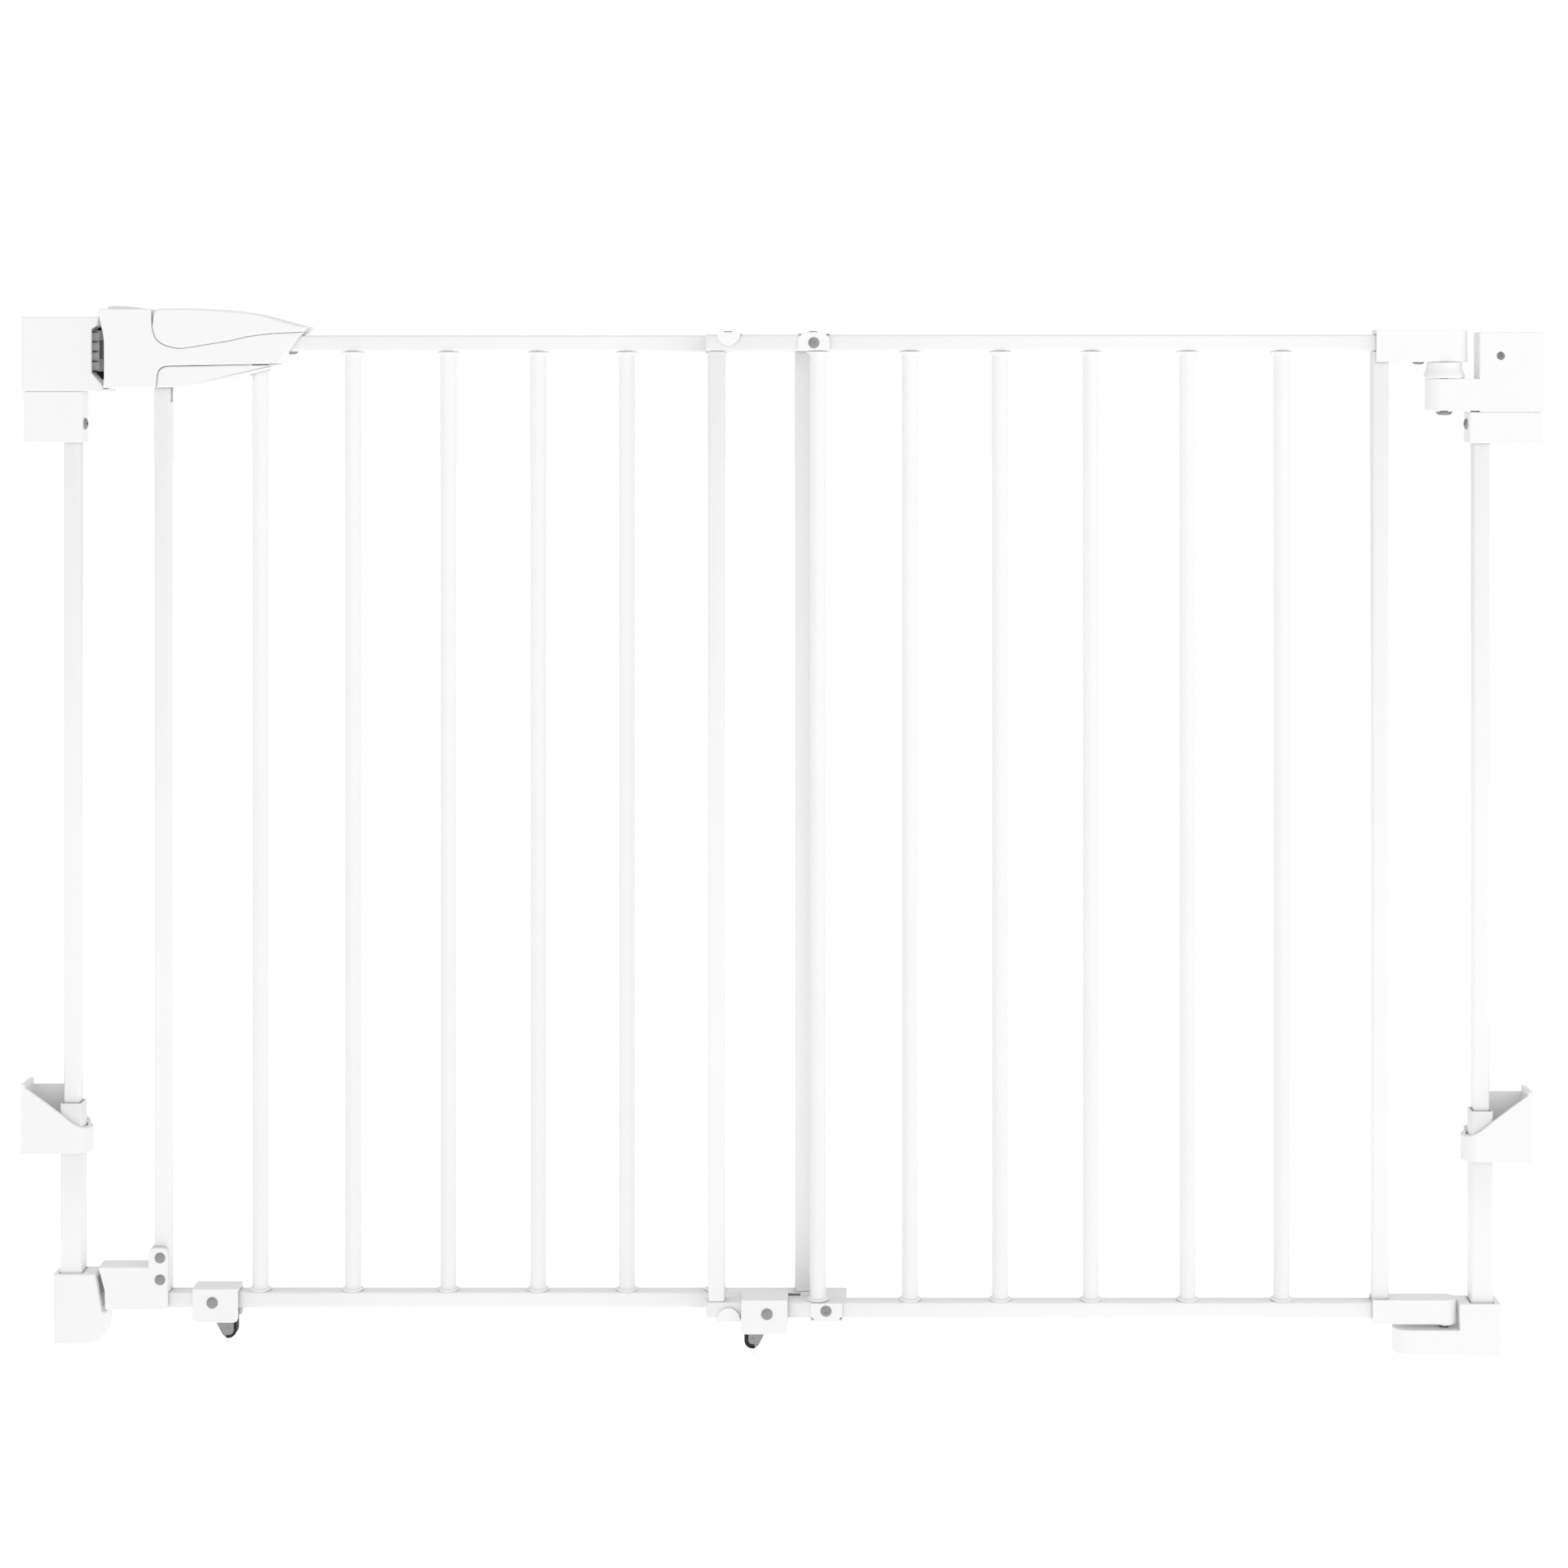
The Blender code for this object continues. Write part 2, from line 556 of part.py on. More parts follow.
def make_clip(name, x, level, owner, face_reach):
    """A strap over both rails; owner is the panel that it is screwed to.

    face_reach is how far the front plate comes down the rail's face.
    """
    z = TOP_RAIL_Z if level > 0 else BOTTOM_RAIL_Z
    rail_half = RAIL_HEIGHT / 2
    front = (FRONT_Y - RAIL_DEPTH / 2 - CLIP_GAP - CLIP_PLATE, FRONT_Y - RAIL_DEPTH / 2 - CLIP_GAP)
    back = (REAR_Y + RAIL_DEPTH / 2 + CLIP_GAP, REAR_Y + RAIL_DEPTH / 2 + CLIP_GAP + CLIP_PLATE)
    crown = z + level * (rail_half + CLIP_GAP)
    outside = crown + level * CLIP_TOP
    middle = (FRONT_Y + RAIL_DEPTH / 2 + CLIP_GAP, REAR_Y - RAIL_DEPTH / 2 - CLIP_GAP)
    strap = block(name, x, (front[0], back[1]), sorted((crown, outside)), white_plastic())
    inner = z - level * (rail_half - TOUCH)
    spacer = block("spacer", x, middle, sorted((inner, outside)), white_plastic())
    heel = block("heel", x, back, sorted((z, outside)), white_plastic())
    if owner == "front":
        radius = (x[1] - x[0]) / 2
        centre = x[0] + radius
        steps = 12
        arc = [(centre + radius * math.cos(math.pi * i / steps),
                outside - level * face_reach * math.sin(math.pi * i / steps)) for i in range(steps + 1)]
        face = prism("face", arc, front, "Y", white_plastic())
    else:
        low = outside - level * face_reach
        shoulder = outside - level * CLIP_SHOULDER
        arc = [(x[0], low), (x[1], low), (x[1], shoulder), (x[1] - CLIP_SHOULDER, outside),
               (x[0] + CLIP_SHOULDER, outside), (x[0], shoulder)]
        face = prism("face", arc, front, "Y", white_plastic())
    return join(strap, spacer, heel, face)


# ---------------------------------------------------------------- width locks

def lock_outline(x):
    """Front shape of a lock housing, its lower corners rounded."""
    low = LOCK_FOOT + LOCK_CORNER
    near = 0.3 * LOCK_CORNER
    return [(x[0] + LOCK_CORNER, LOCK_FOOT), (x[1] - LOCK_CORNER, LOCK_FOOT),
            (x[1] - near, LOCK_FOOT + near), (x[1], low), (x[1], LOCK_TOP),
            (x[0], LOCK_TOP), (x[0], low), (x[0] + near, LOCK_FOOT + near)]


def make_lock_housing(name, x, y, half):
    """An inverted channel over the bottom rail, open below for the pawl."""
    housing = prism(name, lock_outline(x), around(y, half), "Y", white_plastic(), rim=0.9 * MM)
    wide = (x[0] - MM, x[1] + MM)
    ceiling = BOTTOM_RAIL_Z + RAIL_HEIGHT / 2 + TOUCH
    inside = cutter_box(wide, around(y, LOCK_INSIDE), (LOCK_FOOT - MM, ceiling))
    return cut(housing, inside)


def make_rivet(name, x, y, half):
    """A round-headed rivet through housing, pawl and rail."""
    front = y - half
    back = y + half
    profile = [(0, back + RIVET_CAP), (RIVET_HEAD, back + RIVET_CAP / 2), (RIVET_HEAD, back + TOUCH),
               (RIVET_RADIUS, back + TOUCH), (RIVET_RADIUS, front - TOUCH), (RIVET_HEAD, front - TOUCH),
               (RIVET_HEAD, front - RIVET_CAP / 2), (RIVET_HEAD * 0.6, front - RIVET_CAP),
               (0, front - RIVET_CAP)]
    return turned(name, profile, (x, 0, LOCK_RIVET_Z), zinc(), "Y", 24)


def rivet_hole(x, y, half):
    return cutter_rod(RIVET_RADIUS + TOUCH, around(y, half + MM), (x, 0, LOCK_RIVET_Z), "Y")


def pawl_tongue_outline():
    """The pawl's tongue, from its rivet: distance along the rail and height."""
    tip = PAWL_REACH - PAWL_TIP_RADIUS
    start = math.radians(215)
    steps = 6
    points = [(PAWL_NEAR, PAWL_ROOT), (PAWL_NEAR, PAWL_SKIRT - TOUCH)]
    for step in range(steps + 1):
        angle = start + (2 * math.pi - start) * step / steps
        points.append((tip + PAWL_TIP_RADIUS * math.cos(angle),
                       PAWL_TIP_Z + PAWL_TIP_RADIUS * math.sin(angle)))
    return points + [(PAWL_REACH, PAWL_ROOT)]


def pawl_cheek_outline():
    """One of the pawl's side plates, rounded about the rivet."""
    slant = PAWL_EYE * math.sqrt(0.5)
    low = PAWL_SKIRT + 1.5 * MM
    return [(PAWL_NEAR, low), (PAWL_REACH, low), (PAWL_REACH, PAWL_ROOT), (slant, LOCK_RIVET_Z + slant),
            (0, LOCK_RIVET_Z + PAWL_EYE), (-slant, LOCK_RIVET_Z + slant), (-PAWL_EYE, LOCK_RIVET_Z),
            (-slant, LOCK_RIVET_Z - slant)]


def make_pawl(name, x, y, side):
    """A tongue under the rail and two cheeks on the rivet. side is +1 where it points to +X."""
    outline = [(x + side * a, b) for a, b in pawl_tongue_outline()]
    pawl = prism(name, outline, around(y, PAWL_CHEEK[1]), "Y", zinc())
    wide = around(x, 2 * PAWL_REACH)
    cut(pawl, *[cutter_box(wide, sorted((y + turn * 2 * SCOOP_HALF, y + turn * PAWL_TONGUE_HALF)),
                           (0, PAWL_SKIRT)) for turn in (-1, 1)])
    shape = [(x + side * a, b) for a, b in pawl_cheek_outline()]
    spans = [sorted((y + turn * PAWL_CHEEK[0], y + turn * PAWL_CHEEK[1])) for turn in (-1, 1)]
    join(pawl, *[prism("cheek", shape, span, "Y", zinc()) for span in spans])
    cut(pawl, cutter_rod(RIVET_RADIUS + TOUCH, around(y, 2 * SCOOP_HALF), (x, 0, LOCK_RIVET_Z), "Y"))
    return put_origin(pawl, (x, y, LOCK_RIVET_Z))


def make_width_lock(prefix, x_rivet, y, half, side, rail):
    """Housing, rivet and pawl of one lock, with the rail drilled for the rivet."""
    near = x_rivet - side * RIVET_INSET
    x = sorted((near, near + side * LOCK_WIDTH))
    housing = make_lock_housing(f"{prefix}_lock_housing", x, y, half)
    cut(housing, rivet_hole(x_rivet, y, half))
    cut(rail, rivet_hole(x_rivet, y, half))
    make_rivet(f"{prefix}_lock_rivet", x_rivet, y, half)
    make_pawl(f"{prefix}_pawl", x_rivet, y, side)


# ---------------------------------------------------------------- hinge side

def bracket_solid(name, box_x, box_z, arm_x, arm_z, material):
    """A box with an arm to its left that ends round in plan, all as deep as BRACKET_HALF."""
    edge = BRACKET_EDGE
    left, right = box_x
    foot, top = box_z
    side = [(arm_x, arm_z[0]), (left, arm_z[0]), (left, foot + edge), (left + edge, foot), (right, foot),
            (right, top), (left + edge, top), (left, top - edge), (left, arm_z[1]), (arm_x, arm_z[1])]
    body = prism(name, side, around(FRONT_Y, 2 * BRACKET_HALF), "Y", material)
    plan = stadium(right + MM, arm_x, FRONT_Y, BRACKET_HALF)
    return shared(body, prism("plan", plan, (foot - MM, top + MM), "Z", material))


def make_hinge_top_bracket():
    """Box against the wall with an arm under the gate's upper hinge."""
    foot = TOP_RAIL_Z - TOP_BOX_DROP
    body = bracket_solid("hinge_top_bracket", (HINGE_WALL_X - TOP_BOX_REACH, HINGE_WALL_X),
                         (foot, TOP_RAIL_Z + TOP_BOX_RISE), HINGE_AXIS_X - TOP_ARM_END,
                         (foot + ARM_STEP, TOP_RAIL_Z - ARM_DROP), white_steel())
    pin_bore = cutter_rod(PIN_RADIUS + TOUCH, (foot - MM, TOP_RAIL_Z), (HINGE_AXIS_X, FRONT_Y, 0))
    socket_half = INNER_POST / 2 + TOUCH
    post_socket = cutter_box(around(HINGE_POST_X, socket_half), around(FRONT_Y, socket_half),
                             (foot - MM, foot + POST_INTO_BOX + TOUCH))
    hole = cutter_rod(FIXING_HOLE_RADIUS, (FRONT_Y - BRACKET_HALF - MM, FRONT_Y),
                      (HINGE_POST_X + FIXING_HOLE[0], 0, TOP_RAIL_Z + FIXING_HOLE[1]), "Y")
    return smooth(cut(body, pin_bore, post_socket, hole))


def make_hinge_bell():
    """Flared bush that carries the panel's top sleeve."""
    foot = TOP_RAIL_Z - ARM_DROP + TOUCH
    top = TOP_RAIL_Z - SLEEVE_DROP - TOUCH
    neck = foot + BELL_NECK * (top - foot)
    bore = PIN_RADIUS + TOUCH
    profile = [(bore, foot), (BELL_FOOT_RADIUS, foot), (BELL_FOOT_RADIUS - 0.6 * MM, foot + 2.4 * MM),
               (BELL_TOP_RADIUS + 0.5 * MM, neck - MM), (BELL_TOP_RADIUS, neck + MM),
               (BELL_TOP_RADIUS, top), (bore, top)]
    centre = (HINGE_AXIS_X, FRONT_Y, 0)
    return turned("hinge_bell", profile, centre, white_plastic(), sides=32, closed=True)


def make_hinge_top_pin():
    """Pin from under the arm, through the bell and into the panel's sleeve."""
    foot = TOP_RAIL_Z - TOP_BOX_DROP - TOUCH
    under = foot - PIN_HEAD_HEIGHT
    end = TOP_RAIL_Z + PIN_IN_TOP_SLEEVE
    profile = [(0, under), (PIN_HEAD * 0.7, under), (PIN_HEAD, foot - PIN_HEAD_HEIGHT / 2), (PIN_HEAD, foot),
               (PIN_RADIUS, foot), (PIN_RADIUS, end), (0, end)]
    return turned("hinge_top_pin", profile, (HINGE_AXIS_X, FRONT_Y, 0), zinc())


def make_hinge_sleeve():
    """Block under the box that clamps the wall post."""
    top = TOP_RAIL_Z - TOP_BOX_DROP - TOUCH
    x = (HINGE_POST_X - SLEEVE_PAST_WALL_POST, HINGE_WALL_X - SLEEVE_WALL_GAP)
    body = block("hinge_sleeve", x, around(FRONT_Y, BRACKET_HALF), (top - SLEEVE_HEIGHT, top),
                 white_plastic(), bevel=BRACKET_EDGE)
    half = INNER_POST / 2 + TOUCH
    return cut(body, cutter_box(around(HINGE_POST_X, half), around(FRONT_Y, half),
                                (top - SLEEVE_HEIGHT - MM, top + MM)))


def make_wall_posts(prefix, x, y, top):
    """Inner post and the outer tube that it slides in."""
    box_tube(f"{prefix}_post_inner", INNER_POST, INNER_POST, INNER_POST_WALL, (INNER_POST_FOOT, top),
             (x, y), "Z", white_steel())
    box_tube(f"{prefix}_post_outer", OUTER_TUBE, OUTER_TUBE, OUTER_TUBE_WALL,
             (SOCKET_FLOOR + TOUCH, OUTER_TUBE_TOP), (x, y), "Z", white_steel())


def tube_socket(x, y, top):
    half = OUTER_TUBE / 2 + TUBE_FIT
    return cutter_box(around(x, half), around(y, half), (SOCKET_FLOOR, top + MM))


def make_hinge_bottom_bracket():
    """Socket for the post's foot with an arm under the gate's lower hinge."""
    socket_x = (HINGE_AXIS_X + HINGE_SOCKET[0], HINGE_AXIS_X + HINGE_SOCKET[1])
    body = bracket_solid("hinge_bottom_bracket", socket_x, (0, HINGE_SOCKET_HEIGHT),
                         HINGE_AXIS_X - BOTTOM_ARM_END, (ARM_STEP, BOTTOM_ARM_HEIGHT), white_plastic())
    bore = cutter_rod(PIN_RADIUS + TOUCH, (SOCKET_FLOOR, BOTTOM_ARM_HEIGHT + MM),
                      (HINGE_AXIS_X, FRONT_Y, 0))
    return smooth(cut(body, bore, tube_socket(HINGE_POST_X, FRONT_Y, HINGE_SOCKET_HEIGHT)))


def make_hinge_bottom_pin():
    span = (SOCKET_FLOOR + TOUCH, BOTTOM_SLEEVE[1] - PIN_IN_BOTTOM_SLEEVE)
    return rod("hinge_bottom_pin", PIN_RADIUS, span, (HINGE_AXIS_X, FRONT_Y, 0), zinc())


def rail_and_post_cavity(z_rail, z_post):
    """Cutters that clear a front rail's end and its right post out of a sleeve."""
    left = FRONT_RIGHT_X - 2 * SLEEVE_PAST_POST[1]
    rail = cutter_box((left, FRONT_RIGHT_X + RAIL_INTO_SLEEVE + TOUCH),
                      around(FRONT_Y, RAIL_DEPTH / 2 + TOUCH), around(z_rail, RAIL_HEIGHT / 2 + TOUCH))
    post = cutter_box((left, FRONT_RIGHT_X + END_POST / 2 + TOUCH),
                      around(FRONT_Y, END_POST / 2 + TOUCH), z_post)
    return rail, post


def make_top_sleeve():
    """Sleeve on the end of the front panel's top rail that turns on the upper pin."""
    z = (TOP_RAIL_Z - SLEEVE_DROP, TOP_RAIL_Z + SLEEVE_RISE)
    plan = stadium(FRONT_RIGHT_X - SLEEVE_PAST_POST[0], HINGE_AXIS_X + TOP_SLEEVE_END, FRONT_Y,
                   TOP_SLEEVE_HALF, reach=TOP_SLEEVE_ROUND)
    body = prism("front_top_sleeve", plan, z, "Z", white_plastic(), rim=1.2 * MM)
    rail, post = rail_and_post_cavity(TOP_RAIL_Z, (z[0] - MM, TOP_RAIL_Z - RAIL_HEIGHT / 2 + MM))
    end = TOP_RAIL_Z + PIN_IN_TOP_SLEEVE + BORE_SPARE
    bore = cutter_rod(PIN_RADIUS + SLIDE, (z[0] - MM, end), (HINGE_AXIS_X, FRONT_Y, 0))
    return smooth(cut(body, rail, post, bore))


def make_bottom_sleeve():
    """Sleeve on the end of the front panel's bottom rail that turns on the lower pin."""
    plan = stadium(FRONT_RIGHT_X - SLEEVE_PAST_POST[1], HINGE_AXIS_X + BOTTOM_SLEEVE_HALF, FRONT_Y,
                   BOTTOM_SLEEVE_HALF)
    body = prism("front_bottom_sleeve", plan, BOTTOM_SLEEVE, "Z", white_plastic(), rim=0.9 * MM)
    boss = rod("boss", BOSS_RADIUS, (BOSS_FOOT, BOTTOM_SLEEVE[0] + 2 * MM),
               (HINGE_AXIS_X, FRONT_Y, 0), white_plastic())
    join(body, boss)
    above_rail = BOTTOM_RAIL_Z + RAIL_HEIGHT / 2 - MM
    rail, post = rail_and_post_cavity(BOTTOM_RAIL_Z, (above_rail, BOTTOM_SLEEVE[1] + MM))
    end = BOTTOM_SLEEVE[1] - PIN_IN_BOTTOM_SLEEVE + BORE_SPARE
    bore = cutter_rod(PIN_RADIUS + SLIDE, (BOSS_FOOT - MM, end), (HINGE_AXIS_X, FRONT_Y, 0))
    return smooth(cut(body, rail, post, bore))


# ---------------------------------------------------------------- latch side

def make_strike():
    """Top wall bracket with the mouth that takes the handle's bolt."""
    reach, thick = STRIKE_LIP
    lip_top = STRIKE_FOOT + thick
    side = [(-LATCH_STANDOFF, STRIKE_FOOT), (reach, STRIKE_FOOT), (reach, lip_top), (22.4 * MM, lip_top),
            (22.1 * MM, -29 * MM), (NOTCH_REACH, NOTCH_Z[0]), (NOTCH_REACH, NOTCH_Z[1]),
            (18.6 * MM, 12.6 * MM), (STRIKE_EDGE, STRIKE_TOP), (-LATCH_STANDOFF, STRIKE_TOP)]
    outline = [(LATCH_POST_X + a, TOP_RAIL_Z + b) for a, b in side]
    body = prism("latch_strike", outline, around(REAR_Y, STRIKE_HALF), "Y", white_plastic(), rim=0.7 * MM)
    half = INNER_POST / 2 + TOUCH
    post = cutter_box(around(LATCH_POST_X, half), around(REAR_Y, half),
                      (TOP_RAIL_Z + STRIKE_FOOT - MM, TOP_RAIL_Z + TOUCH))
    seat = cutter_box((LATCH_POST_X + INSERT_X[0] - TOUCH, LATCH_POST_X + NOTCH_REACH + MM),
                      around(REAR_Y, INSERT_HALF + TOUCH),
                      (TOP_RAIL_Z + NOTCH_Z[0] + 0.5 * MM, TOP_RAIL_Z + NOTCH_Z[1] - 0.5 * MM))
    return cut(body, post, seat)


def make_strike_insert():
    """Ribbed wear block in the strike's mouth, with the bolt's pocket."""
    z = (TOP_RAIL_Z + NOTCH_Z[0] + MM, TOP_RAIL_Z + NOTCH_Z[1] - MM)
    x = (LATCH_POST_X + INSERT_X[0], LATCH_POST_X + INSERT_X[1])
    body = block("strike_insert", x, around(REAR_Y, INSERT_HALF), z, grey_plastic())
    ribs = []
    middle = (z[0] + z[1]) / 2
    for number in range(RIB_COUNT):
        rib_z = middle + (number - (RIB_COUNT - 1) / 2) * RIB_PITCH
        ribs.append(block("rib", (LATCH_POST_X + NOTCH_REACH + TOUCH, x[1] - TOUCH),
                          (REAR_Y - INSERT_HALF - RIB_PROUD, REAR_Y - INSERT_HALF + TOUCH),
                          around(rib_z, RIB_HEIGHT / 2), grey_plastic()))
    join(body, *ribs)
    bolt_z = TOP_RAIL_Z - TOP_BOLT_DROP
    pocket = cutter_box((BOLT_POCKET_X, x[1] + MM), around(REAR_Y, BOLT_HALF_DEPTH + SLIDE),
                        around(bolt_z, BOLT_HEIGHT / 2 + SLIDE))
    return cut(body, pocket)


def make_latch_sleeve():
    """Block under the strike that clamps the latch wall post."""
    z = (TOP_RAIL_Z + LATCH_SLEEVE_Z[0], TOP_RAIL_Z + LATCH_SLEEVE_Z[1])
    body = block("latch_sleeve", (LATCH_WALL_X + LATCH_SLEEVE_GAP, LATCH_POST_X + LATCH_SLEEVE_REACH),
                 around(REAR_Y, STRIKE_HALF), z, white_plastic(), bevel=BRACKET_EDGE)
    half = INNER_POST / 2 + TOUCH
    return cut(body, cutter_box(around(LATCH_POST_X, half), around(REAR_Y, half), (z[0] - MM, z[1] + MM)))


def make_latch_socket():
    """Foot of the latch wall post, with the lower bolt's pocket and a lip under the gate."""
    outline = [(LATCH_POST_X + a * MM, b * MM) for a, b in SOCKET_SIDE]
    body = prism("latch_bottom_socket", outline, around(REAR_Y, LATCH_SOCKET_HALF), "Y", white_plastic(),
                 rim=1.4 * MM)
    pocket = cutter_box((BOLT_POCKET_X, REAR_LEFT_X - BOLT_TIP), around(REAR_Y, BOLT_HALF_DEPTH + SLIDE),
                        around(LOWER_BOLT_Z, BOLT_HEIGHT / 2 + SLIDE))
    return cut(body, tube_socket(LATCH_POST_X, REAR_Y, LATCH_SOCKET_HEIGHT), pocket)


def handle_points(points):
    """Outline points in the gate's own frame."""
    return [(REAR_LEFT_X + a * MM, TOP_RAIL_Z + b * MM) for a, b in points]


def outline_cutter(points, half):
    """A cutter from an outline in the handle's own frame, centred in its depth."""
    return prism("cutter", handle_points(points), around(REAR_Y, half), "Y", white_plastic())


def shell_outline():
    """Side of the handle body, anticlockwise from its lower left corner."""
    lever_side = [(a - LEVER_GAP * (a < 3), b + LEVER_GAP * (a >= -1)) for a, b in LEVER_TOP[:-1]]
    seam = [(a - SEAM_GAP, b - SEAM_GAP) for a, b in reversed(GRIP_SEAM)]
    lower_left, top_left = NOSE_EDGE[-1], NOSE_EDGE[0]
    lower_right = (LEVER_TOP[0][0] - LEVER_GAP, lower_left[1])
    top_right = (GRIP_TOP[-1][0] - 2, top_left[1])
    return [lower_left, lower_right] + lever_side[1:] + END_FACE + seam + [top_right] + NOSE_EDGE[:-1]


def make_handle_shells():
    """Front and back halves of the handle body around one cavity."""
    outline = shell_outline()
    cavity = inset(outline, SHELL_WALL / MM)
    shells = []
    for name, span in (("handle_front_shell", (REAR_Y - HANDLE_HALF, REAR_Y - TOUCH / 2)),
                       ("handle_back_shell", (REAR_Y + TOUCH / 2, REAR_Y + HANDLE_HALF))):
        shell = prism(name, handle_points(outline), span, "Y", white_plastic())
        cut(shell, *shell_cutters(cavity))
        shells.append(shell)
    return shells


def rail_passage():
    """Cutter that clears the rear panel's top rail out of the handle."""
    return cutter_box((REAR_LEFT_X - END_POST / 2 - 0.5 * MM, REAR_LEFT_X + 110 * MM),
                      around(REAR_Y, RAIL_DEPTH / 2 + TOUCH), around(TOP_RAIL_Z, RAIL_HEIGHT / 2 + TOUCH))


def shell_cutters(cavity):
    """What is open inside the handle body: cavity, rail, post, lever, bolt and button."""
    x, z = REAR_LEFT_X, TOP_RAIL_Z
    post_half = END_POST / 2 + TOUCH
    bolt_z = z - TOP_BOLT_DROP
    deep, shallow = INNER_REACH
    pivot_x = x + LEVER_PIVOT[0]
    return [
        outline_cutter(cavity, HANDLE_HALF - SHELL_WALL),
        rail_passage(),
        cutter_box(around(x, post_half), around(REAR_Y, post_half), (z - deep, z)),
        cutter_box(around(x + REAR_FIRST_BAR, COLLAR_RADIUS + SLIDE), around(REAR_Y, COLLAR_RADIUS + SLIDE),
                   (z - deep, z)),
        cutter_box(around(pivot_x, EAR_REACH + 1.5 * MM), around(REAR_Y, LEVER_EAR_HALF + SLIDE),
                   (z + EAR_Z[0] - 1.5 * MM, z - shallow)),
        cutter_rod(LEVER_PIN_RADIUS + TOUCH, around(REAR_Y, HANDLE_HALF - MM),
                   (pivot_x, 0, z + LEVER_PIVOT[1]), "Y"),
        cutter_box((x - BOLT_TIP - 7 * MM, x - BOLT_TIP + 7 * MM), around(REAR_Y, BOLT_HALF_DEPTH + SLIDE),
                   around(bolt_z, BOLT_HEIGHT / 2 + SLIDE)),
        cutter_box((x + BUTTON_SIDE[0][0] * MM - 0.7 * MM, x + BUTTON_SIDE[1][0] * MM + 0.8 * MM),
                   around(REAR_Y, BUTTON_HALF + SLIDE), (z + 15 * MM, z + 26 * MM)),
    ]


def make_grip_cover():
    """Saddle over the top of the handle, open below."""
    outline = GRIP_SEAM + GRIP_TOP
    cover = prism("grip_cover", handle_points(outline), around(REAR_Y, HANDLE_HALF), "Y", white_plastic(),
                  rim=1.1 * MM)
    wall = COVER_WALL / MM
    left, right, foot = COVER_INSIDE
    roof = [(a, b - wall) for a, b in GRIP_TOP if left < a < right - 4]
    inside = [(left, foot), (right, foot), (right, GRIP_TOP[1][1] - wall)] + roof
    inside.append((left, GRIP_TOP[-1][1] - wall))
    return cut(cover, outline_cutter(inside, HANDLE_HALF - COVER_WALL), rail_passage())


def lever_cutters():
    """The lever's trough, and slots for the post and for the first bar."""
    x, z = REAR_LEFT_X, TOP_RAIL_Z
    deep, shallow = INNER_REACH
    floor = [(a, b + LEVER_FLOOR / MM) for a, b in LEVER_BOTTOM[::-1]][:-2]
    brim = -shallow / MM
    trough = [(floor[0][0] - 1, brim)] + floor + [(floor[-1][0] + 9, brim)]
    ear_left = x + LEVER_PIVOT[0] - EAR_REACH
    return [
        outline_cutter(trough, LEVER_HALF - SHELL_WALL),
        cutter_box((x - 4 * MM, x + END_POST / 2 + 1.2 * MM), around(REAR_Y, END_POST / 2 + 0.8 * MM),
                   (z - deep, z - shallow)),
        cutter_box((ear_left - 2 * BAR_RADIUS - 2.6 * MM, ear_left), around(REAR_Y, BAR_RADIUS + 0.8 * MM),
                   (z - deep, z - shallow)),
    ]


def make_lever():
    """Squeeze lever: a channel that straddles the post and draws the bolts in."""
    x, z = REAR_LEFT_X, TOP_RAIL_Z
    outline = [LEVER_TOP[0]] + LEVER_BOTTOM[::-1] + LEVER_TOP[::-1][:-1]
    lever = prism("squeeze_lever", handle_points(outline), around(REAR_Y, LEVER_HALF), "Y", white_plastic(),
                  rim=0.7 * MM)
    cut(lever, *lever_cutters())
    pivot = (x + LEVER_PIVOT[0], REAR_Y, z + LEVER_PIVOT[1])
    ear = block("ear", around(pivot[0], EAR_REACH), around(REAR_Y, LEVER_EAR_HALF),
                (z + EAR_Z[0], z + EAR_Z[1]), white_plastic())
    finger = block("finger", (x + FINGER_X[0], x + FINGER_X[1]), around(REAR_Y, FINGER_HALF), FINGER_Z,
                   white_plastic())
    join(lever, ear, finger)
    cut(lever, cutter_rod(LEVER_PIN_RADIUS + TOUCH, around(REAR_Y, 2 * HANDLE_HALF), pivot, "Y"))
    return put_origin(lever, pivot)


def make_lever_pin():
    return rod("lever_pin", LEVER_PIN_RADIUS, around(REAR_Y, HANDLE_HALF - MM - TOUCH),
               (REAR_LEFT_X + LEVER_PIVOT[0], 0, TOP_RAIL_Z + LEVER_PIVOT[1]), zinc(), "Y", 16)


def make_thumb_button():
    """Rocker in the top of the handle."""
    button = prism("thumb_button", handle_points(BUTTON_SIDE), around(REAR_Y, BUTTON_HALF), "Y",
                   white_plastic(), rim=0.6 * MM)
    pivot = (REAR_LEFT_X + BUTTON_PIVOT[0], REAR_Y, TOP_RAIL_Z + BUTTON_PIVOT[1])
    return put_origin(button, pivot)


def make_bolt(name, x_tip, z):
    """A bolt with its nose to the latch wall; x_tip is its drawn-in tip."""
    bolt = block(name, (x_tip, x_tip + BOLT_LENGTH), around(REAR_Y, BOLT_HALF_DEPTH),
                 around(z, BOLT_HEIGHT / 2), grey_plastic(), bevel=0.8 * MM)
    return put_origin(bolt, (x_tip + BOLT_LENGTH / 2, REAR_Y, z))


def make_pull_rod():
    """Rod inside the rear panel's left post, from the lever's finger down to the lower bolt."""
    top = FINGER_Z[0] - TOUCH
    foot = BOTTOM_RAIL_Z + RAIL_HEIGHT / 2 + LEVER_DROP + PULL_ROD_FOOT
    item = rod("pull_rod", PULL_ROD_RADIUS, (foot, top), (REAR_LEFT_X, REAR_Y, 0), zinc(), sides=12)
    return put_origin(item, (REAR_LEFT_X, REAR_Y, foot))


